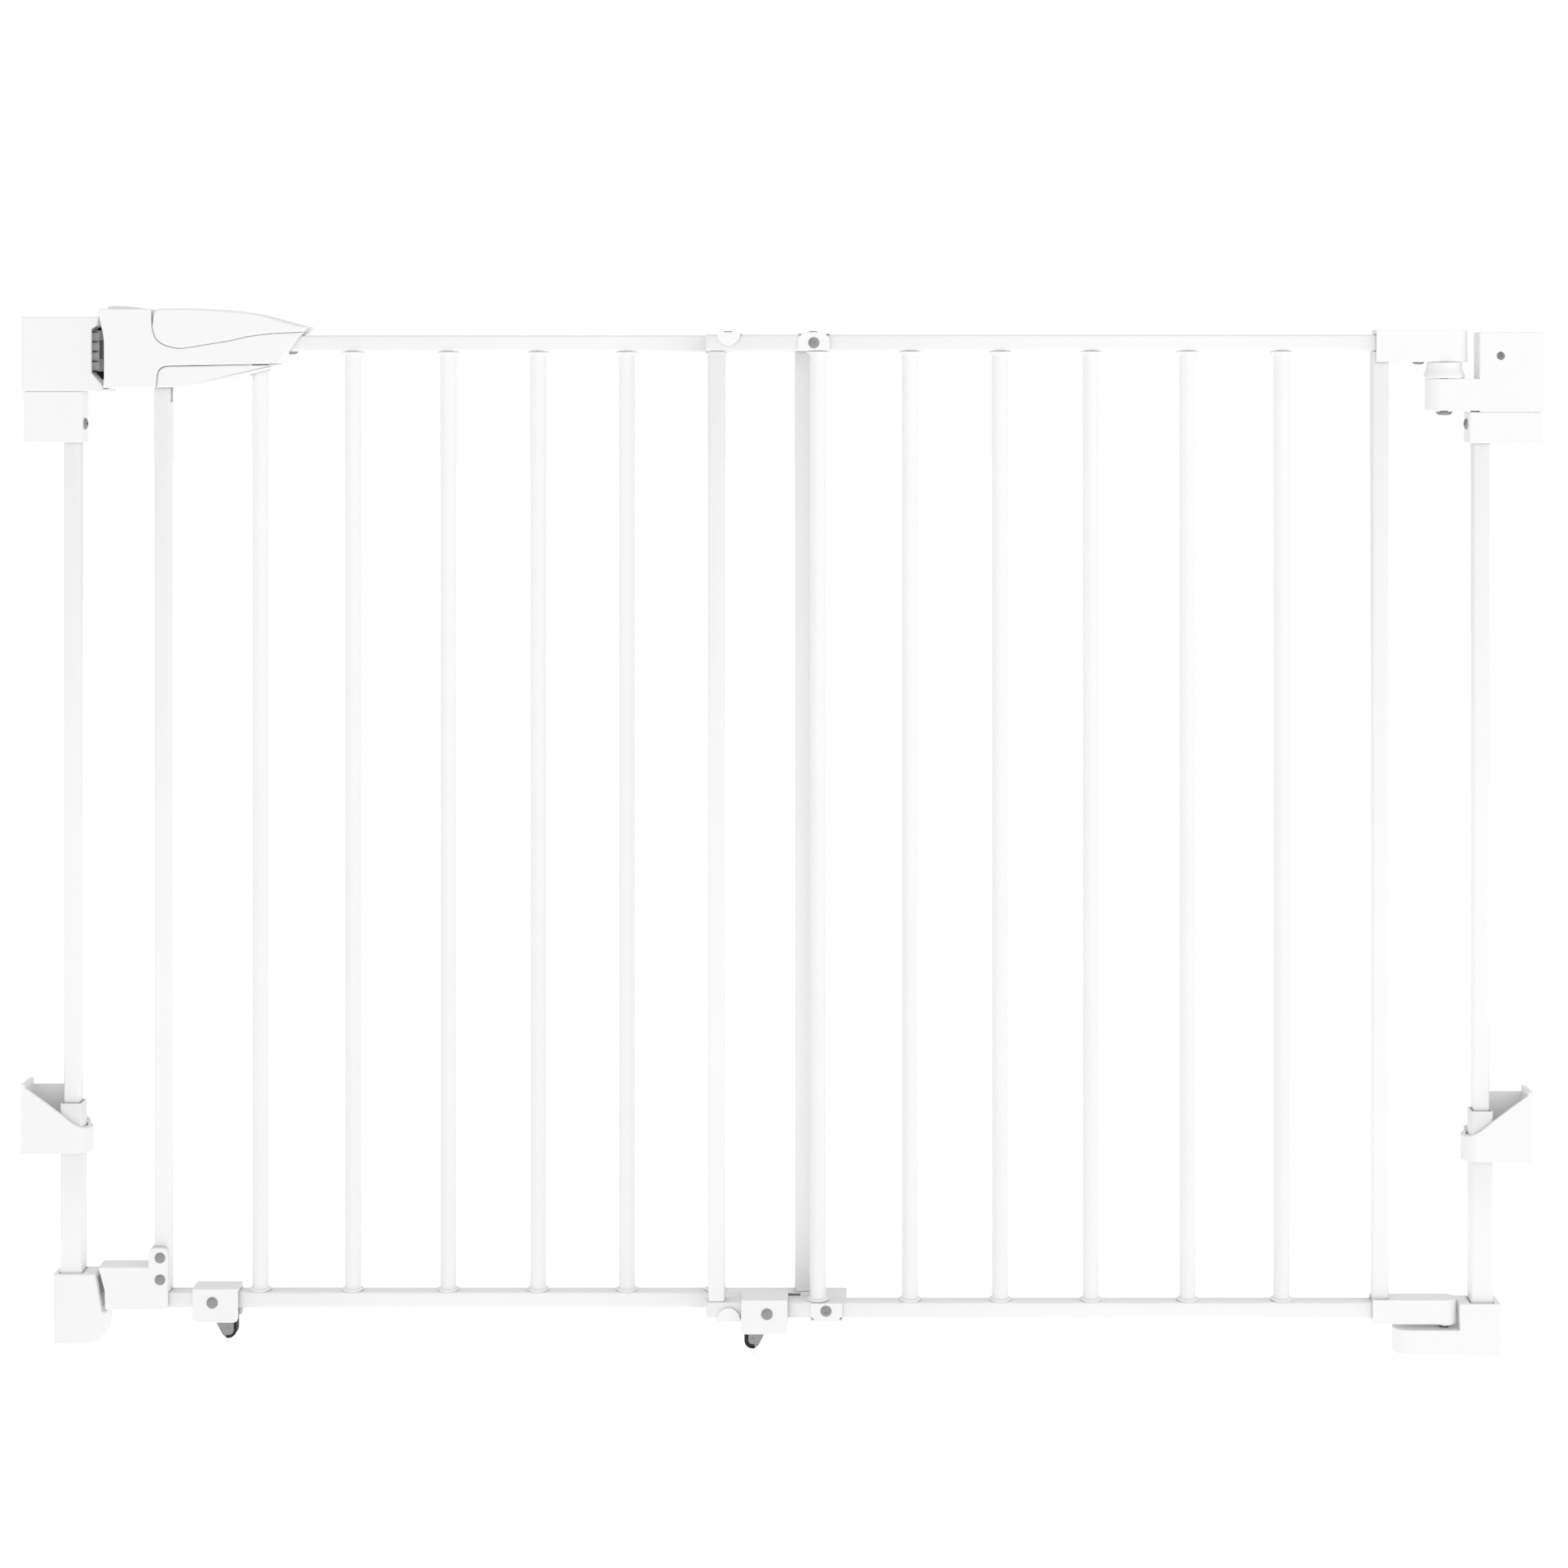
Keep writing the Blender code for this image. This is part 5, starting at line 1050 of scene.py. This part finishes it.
def make_scoop(name, node, post, side, shape):
    """Wall cup with a swept brim, a drilled back and a square hole for the tube."""
    low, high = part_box(node)
    middle = (low + high) / 2
    tube = node_middle(post)
    half = (high.y - low.y) / 2
    x_wall, x_nose = (low.x, high.x) if side > 0 else (high.x, low.x)
    wall = 2.4 * MM
    floor = 3 * MM
    nose_wall = 3.4 * MM
    nose_reach = 10 * MM
    hollow_reach = 7 * MM
    screw_hole = 2.3 * MM
    back = middle.y + half - wall
    above = high.z + 5 * MM
    hole = node_size(post).x / 2 + 0.4 * MM
    plan = stadium(x_wall, x_nose, middle.y, half, reach=nose_reach, steps=48)
    hollow = stadium(x_wall + side * floor, x_nose - side * nose_wall, middle.y, half - wall,
                     reach=hollow_reach)
    item = prism(name, plan, (low.z, high.z), "Z")
    carve(item, prism("cutter", hollow, (low.z + floor, above), "Z"),
          block("cutter", around(tube.x, hole), around(tube.y, hole), (low.z - MM, above)),
          scoop_sweep(flowing(SCOOP_CUP, 6), x_wall, side, (middle.y - 2 * half, back), above),
          scoop_sweep(SCOOP_BACK, x_wall, side, (back - MM, middle.y + 2 * half), above))
    carve(item, *[rod("cutter", screw_hole, (-6 * MM, 6 * MM), (x_wall, middle.y, z), "X")
                  for z in SCOOP_SCREW_HEIGHTS])
    return settle(round_edges(item, shape.scoop_edge, 3, 35), node, "white_plastic", node)


# ---------------------------------------------------------------- studio

def make_world(stage):
    """Even white surroundings: pure white to the eye, a little softer as light."""
    world = bpy.data.worlds.new("studio_world")
    bpy.context.scene.world = world
    world.use_nodes = True
    tree = world.node_tree
    tree.nodes.clear()
    light = Wire(tree)
    seen = light.node("ShaderNodeLightPath", output="Is Camera Ray")
    glow = light.node("ShaderNodeBackground", values={"Color": (1, 1, 1, 1), "Strength": stage.fill})
    backdrop = light.node("ShaderNodeBackground", values={"Color": (1, 1, 1, 1), "Strength": 1.0})
    both = light.node("ShaderNodeMixShader", values={0: seen, 1: glow, 2: backdrop})
    out = tree.nodes.new("ShaderNodeOutputWorld")
    tree.links.new(both.socket, out.inputs["Surface"])


def make_floor(stage):
    """Large pale floor just under the feet of the gate, as bright as the surroundings."""
    half = stage.floor_size / 2
    bm = bmesh.new()
    corners = [bm.verts.new((x, y, -0.5 * MM)) for x, y in ((-half, -half), (half, -half), (half, half),
                                                            (-half, half))]
    bm.faces.new(corners)
    floor = new_item("studio_floor", bm)
    material, paint, shader, place = start_finish("pale_floor", 0.9, Specular_IOR_Level=0.0)
    cloud = grain(paint, place, 1.5, 3.0)
    plug(cloud.blend((0.97, 0.97, 0.97, 1), (0.95, 0.95, 0.95, 1)), shader, "Base Color")
    shader.inputs["Emission Color"].default_value = (1, 1, 1, 1)
    shader.inputs["Emission Strength"].default_value = stage.floor_glow
    floor.data.materials.append(material)


def area_light(name, place, aim, size, power):
    """A soft rectangular light that looks at a point."""
    data = bpy.data.lights.new(name, "AREA")
    data.shape = "RECTANGLE"
    data.size, data.size_y = size
    data.energy = power
    light = bpy.data.objects.new(name, data)
    light.location = place
    light.rotation_euler = (Vector(aim) - Vector(place)).to_track_quat("-Z", "Y").to_euler()
    bpy.context.scene.collection.objects.link(light)


def make_camera(stage):
    """Level camera at the height of the top rail, a little to the hinge side of the middle."""
    data = bpy.data.cameras.new("studio_camera")
    data.lens = stage.lens
    data.sensor_width = 36
    data.shift_x = stage.shift[0]
    data.shift_y = stage.shift[1]
    camera = bpy.data.objects.new("studio_camera", data)
    camera.location = (stage.camera_side, FRONT_Y - stage.distance, stage.camera_height)
    camera.rotation_euler = (math.pi / 2, 0, 0)
    bpy.context.scene.collection.objects.link(camera)
    bpy.context.scene.camera = camera


# ---------------------------------------------------------------- settings

def colour(name, about, *levels):
    return FloatVectorProperty(name=name, description=about, subtype="COLOR", default=levels, min=0, max=1)


def length(name, about, default, low=0.1 * MM, high=2 * MM):
    return FloatProperty(name=name, description=about, default=default, min=low, max=high, unit="LENGTH")


def strength(name, about, default, unit="NONE"):
    return FloatProperty(name=name, description=about, default=default, min=0, unit=unit)


class GateLook(bpy.types.PropertyGroup):
    white: colour("Paint", "Colour of the powder coat", 0.85, 0.85, 0.85)
    plastic: colour("Plastic", "Colour of the white mouldings", 0.855, 0.855, 0.855)
    nylon: colour("Nylon", "Colour of the strike's wear block and bolts", 0.30, 0.30, 0.305)
    zinc: colour("Zinc", "Colour of screws, rivets and pawls", 0.30, 0.30, 0.31)
    rubber: colour("Rubber", "Colour of the pawls' edges", 0.012, 0.012, 0.012)


class GateShape(bpy.types.PropertyGroup):
    bar_radius: length("Bar radius", "Outside radius of the round bars", 5.5 * MM, 4 * MM, 7 * MM)
    collar_height: length("Collar height", "Height of the flange at a bar's ends", 2.2 * MM, MM, 4 * MM)
    round_sides: IntProperty(name="Sides", description="Facets round a bar", default=40, min=16, max=96)
    corner_steps: IntProperty(name="Corner steps", description="Facets in a tube's rounded edge", default=6,
                              min=2, max=12)
    rail_corner: length("Rail edge", "Radius along the rails' and posts' edges", 1.5 * MM, 0.4 * MM, 3 * MM)
    case_edge: length("Case edge", "Radius of the brackets' edges", 0.8 * MM)
    shell_rim: length("Shell rim", "Radius round the handle's side faces", 0.8 * MM)
    cover_rim: length("Cover shoulder", "Width of the grip cover's shoulder", 1.9 * MM, high=4 * MM)
    lever_rim: length("Lever rim", "Radius round the lever's side faces", 1.3 * MM)
    scoop_edge: length("Scoop edge", "Radius of the wall scoops' brims", 0.6 * MM, high=MM)


class GateStage(bpy.types.PropertyGroup):
    distance: length("Distance", "Camera to the front panel", 2.002, 0.5, 50)
    camera_side: length("Side", "Camera's place along the gate", 0.0504, -50, 50)
    camera_height: length("Height", "Camera's height", 0.6453, -50, 50)
    lens: FloatProperty(name="Lens", description="Focal length in millimetres", default=67.64, min=10)
    shift: FloatVectorProperty(name="Shift", description="Lens shift that frames the gate", size=2,
                               default=(-0.0435, -0.2438))
    fill: strength("Fill", "Strength of the even light", 0.80)
    key: strength("Key", "Power of the large front light", 10.0, "POWER")
    rim: strength("Side light", "Power of the light at the hinge side", 4.0, "POWER")
    floor_glow: strength("Floor glow", "Light given off by the floor", 0.42)
    floor_size: length("Floor", "Width of the floor", 60.0, 2, 500)


# ---------------------------------------------------------------- operators

class GATE_OT_tubes(bpy.types.Operator):
    """Build the rails, end posts, wall posts and rail caps"""
    bl_idname = "gate.tubes"
    bl_label = "Rails and Posts"

    def execute(self, context):
        corner = context.scene.gate_shape.rail_corner
        finger = (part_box("squeeze_lever")[0].z - 10 * MM, TOP_RAIL_Z - 20 * MM)
        for prefix in ("front", "rear"):
            body = f"{prefix}_panel"
            for level in ("top", "bottom"):
                node = f"{prefix}_{level}_rail"
                steel_tube(node + "_tube", node, body, "X", corner)
                rail_cap(node + "_cap", node, 1 if prefix == "rear" else -1, body)
            for side in ("left", "right"):
                node = f"{prefix}_{side}_post"
                slots = ()
                if node == "rear_left_post":
                    slots = (block("cutter", (REAR_LEFT_X + MM, REAR_LEFT_X + 11 * MM),
                                   around(REAR_Y, 2.8 * MM), finger),)
                steel_tube(node + "_tube", node, body, "Z", corner, slots)
        for wall in ("latch", "hinge"):
            for kind in ("inner", "outer"):
                node = f"{wall}_post_{kind}"
                steel_tube(node + "_tube", node, "root", "Z", corner)
        return {"FINISHED"}


class GATE_OT_bars(bpy.types.Operator):
    """Build the twelve round bars with their flanges"""
    bl_idname = "gate.bars"
    bl_label = "Bars"

    def execute(self, context):
        for prefix in ("front", "rear"):
            for number in range(1, 7):
                bar_tube(f"{prefix}_bar_{number}", f"{prefix}_panel")
        return {"FINISHED"}


class GATE_OT_hinge(bpy.types.Operator):
    """Build both hinges with their brackets and sleeves"""
    bl_idname = "gate.hinge"
    bl_label = "Hinges"

    def execute(self, context):
        make_hinge_top(context.scene.gate_shape)
        make_hinge_bottom(context.scene.gate_shape)
        return {"FINISHED"}


class GATE_OT_latch(bpy.types.Operator):
    """Build the strike, its wear block, the feet and the lower bolt's case"""
    bl_idname = "gate.latch"
    bl_label = "Latch"

    def execute(self, context):
        make_latch(context.scene.gate_shape)
        return {"FINISHED"}


class GATE_OT_handle(bpy.types.Operator):
    """Build the handle: both halves, grip cover, squeeze lever and thumb button"""
    bl_idname = "gate.handle"
    bl_label = "Handle"

    def execute(self, context):
        shape = context.scene.gate_shape
        make_handle_shells(shape)
        make_grip_cover(shape)
        make_lever(shape)
        make_button()
        return {"FINISHED"}


class GATE_OT_clips(bpy.types.Operator):
    """Build the sliding clips between the panels"""
    bl_idname = "gate.clips"
    bl_label = "Clips"

    def execute(self, context):
        make_clips()
        return {"FINISHED"}


class GATE_OT_locks(bpy.types.Operator):
    """Build the width locks with their pawls"""
    bl_idname = "gate.locks"
    bl_label = "Width Locks"

    def execute(self, context):
        make_locks()
        return {"FINISHED"}


class GATE_OT_scoops(bpy.types.Operator):
    """Build the two wall scoops"""
    bl_idname = "gate.scoops"
    bl_label = "Wall Scoops"

    def execute(self, context):
        shape = context.scene.gate_shape
        make_scoop("latch_scoop_cup", "latch_scoop", "latch_post_outer", 1, shape)
        make_scoop("hinge_scoop_cup", "hinge_scoop", "hinge_post_outer", -1, shape)
        return {"FINISHED"}


class GATE_OT_screws(bpy.types.Operator):
    """Add the clamp screws of the sleeves and rails"""
    bl_idname = "gate.screws"
    bl_label = "Screws"

    def execute(self, context):
        z = TOP_RAIL_Z - SLEEVE_SCREW_DROP
        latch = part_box("latch_sleeve")[1].x
        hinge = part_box("hinge_sleeve")[0].x
        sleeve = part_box("front_top_sleeve")[0].z
        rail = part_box("rear_top_rail")[0].z
        for name, place, axis, radius, height, body in (
                ("latch_sleeve_screw", (latch, REAR_Y, z), "X", 3.9, 2.0, "root"),
                ("hinge_sleeve_screw", (hinge, FRONT_Y, z), "-X", 3.7, 2.0, "root"),
                ("top_sleeve_screw", (HINGE_X - 17.5 * MM, FRONT_Y, sleeve), "-Z", 3.8, 1.8, "front_panel"),
                ("handle_rail_screw", (REAR_LEFT_X + 88.2 * MM, REAR_Y, rail), "-Z", 3.9, 1.9, "rear_panel")):
            button_head(name, place, axis, radius * MM, height * MM, body, recess="cross")
        return {"FINISHED"}


class GATE_OT_finishes(bpy.types.Operator):
    """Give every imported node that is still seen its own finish"""
    bl_idname = "gate.finishes"
    bl_label = "Finishes"

    def execute(self, context):
        for node, item in frame["nodes"].items():
            if item.hide_render:
                continue
            item.data.materials.clear()
            item.data.materials.append(finish_for(CAD_SLOTS[node]))
        return {"FINISHED"}


class GATE_OT_stage(bpy.types.Operator):
    """Set up the floor, the lights and the camera"""
    bl_idname = "gate.stage"
    bl_label = "Studio"

    def execute(self, context):
        stage = context.scene.gate_stage
        context.scene.view_settings.view_transform = "Standard"
        make_world(stage)
        make_floor(stage)
        area_light("key_light", (0.7, -2.8, 1.7), STUDIO_AIM, (2.4, 1.8), stage.key)
        area_light("side_light", (2.4, -0.9, 1.2), STUDIO_AIM, (1.2, 1.2), stage.rim)
        make_camera(stage)
        return {"FINISHED"}


OPERATORS = (GATE_OT_tubes, GATE_OT_bars, GATE_OT_hinge, GATE_OT_latch, GATE_OT_handle, GATE_OT_clips,
             GATE_OT_locks, GATE_OT_scoops, GATE_OT_screws, GATE_OT_finishes, GATE_OT_stage)


class GATE_PT_panel(bpy.types.Panel):
    """Settings and steps of the gate"""
    bl_idname = "GATE_PT_panel"
    bl_label = "Safety Gate"
    bl_space_type = "VIEW_3D"
    bl_region_type = "UI"
    bl_category = "Safety Gate"

    def draw(self, context):
        for group in (context.scene.gate_look, context.scene.gate_shape, context.scene.gate_stage):
            box = self.layout.box()
            for name in group.__annotations__:
                box.prop(group, name)
        for operator in OPERATORS:
            self.layout.operator(operator.bl_idname)


CLASSES = (GateLook, GateShape, GateStage, *OPERATORS, GATE_PT_panel)


def register():
    for item in CLASSES:
        bpy.utils.register_class(item)
    bpy.types.Scene.gate_look = PointerProperty(type=GateLook)
    bpy.types.Scene.gate_shape = PointerProperty(type=GateShape)
    bpy.types.Scene.gate_stage = PointerProperty(type=GateStage)


def unregister():
    del bpy.types.Scene.gate_stage
    del bpy.types.Scene.gate_shape
    del bpy.types.Scene.gate_look
    for item in reversed(CLASSES):
        bpy.utils.unregister_class(item)


def main():
    register()
    bpy.ops.gate.tubes()
    bpy.ops.gate.bars()
    bpy.ops.gate.hinge()
    bpy.ops.gate.latch()
    bpy.ops.gate.handle()
    bpy.ops.gate.clips()
    bpy.ops.gate.locks()
    bpy.ops.gate.scoops()
    bpy.ops.gate.screws()
    bpy.ops.gate.finishes()
    bpy.ops.gate.stage()


if __name__ == "__main__":
    main()
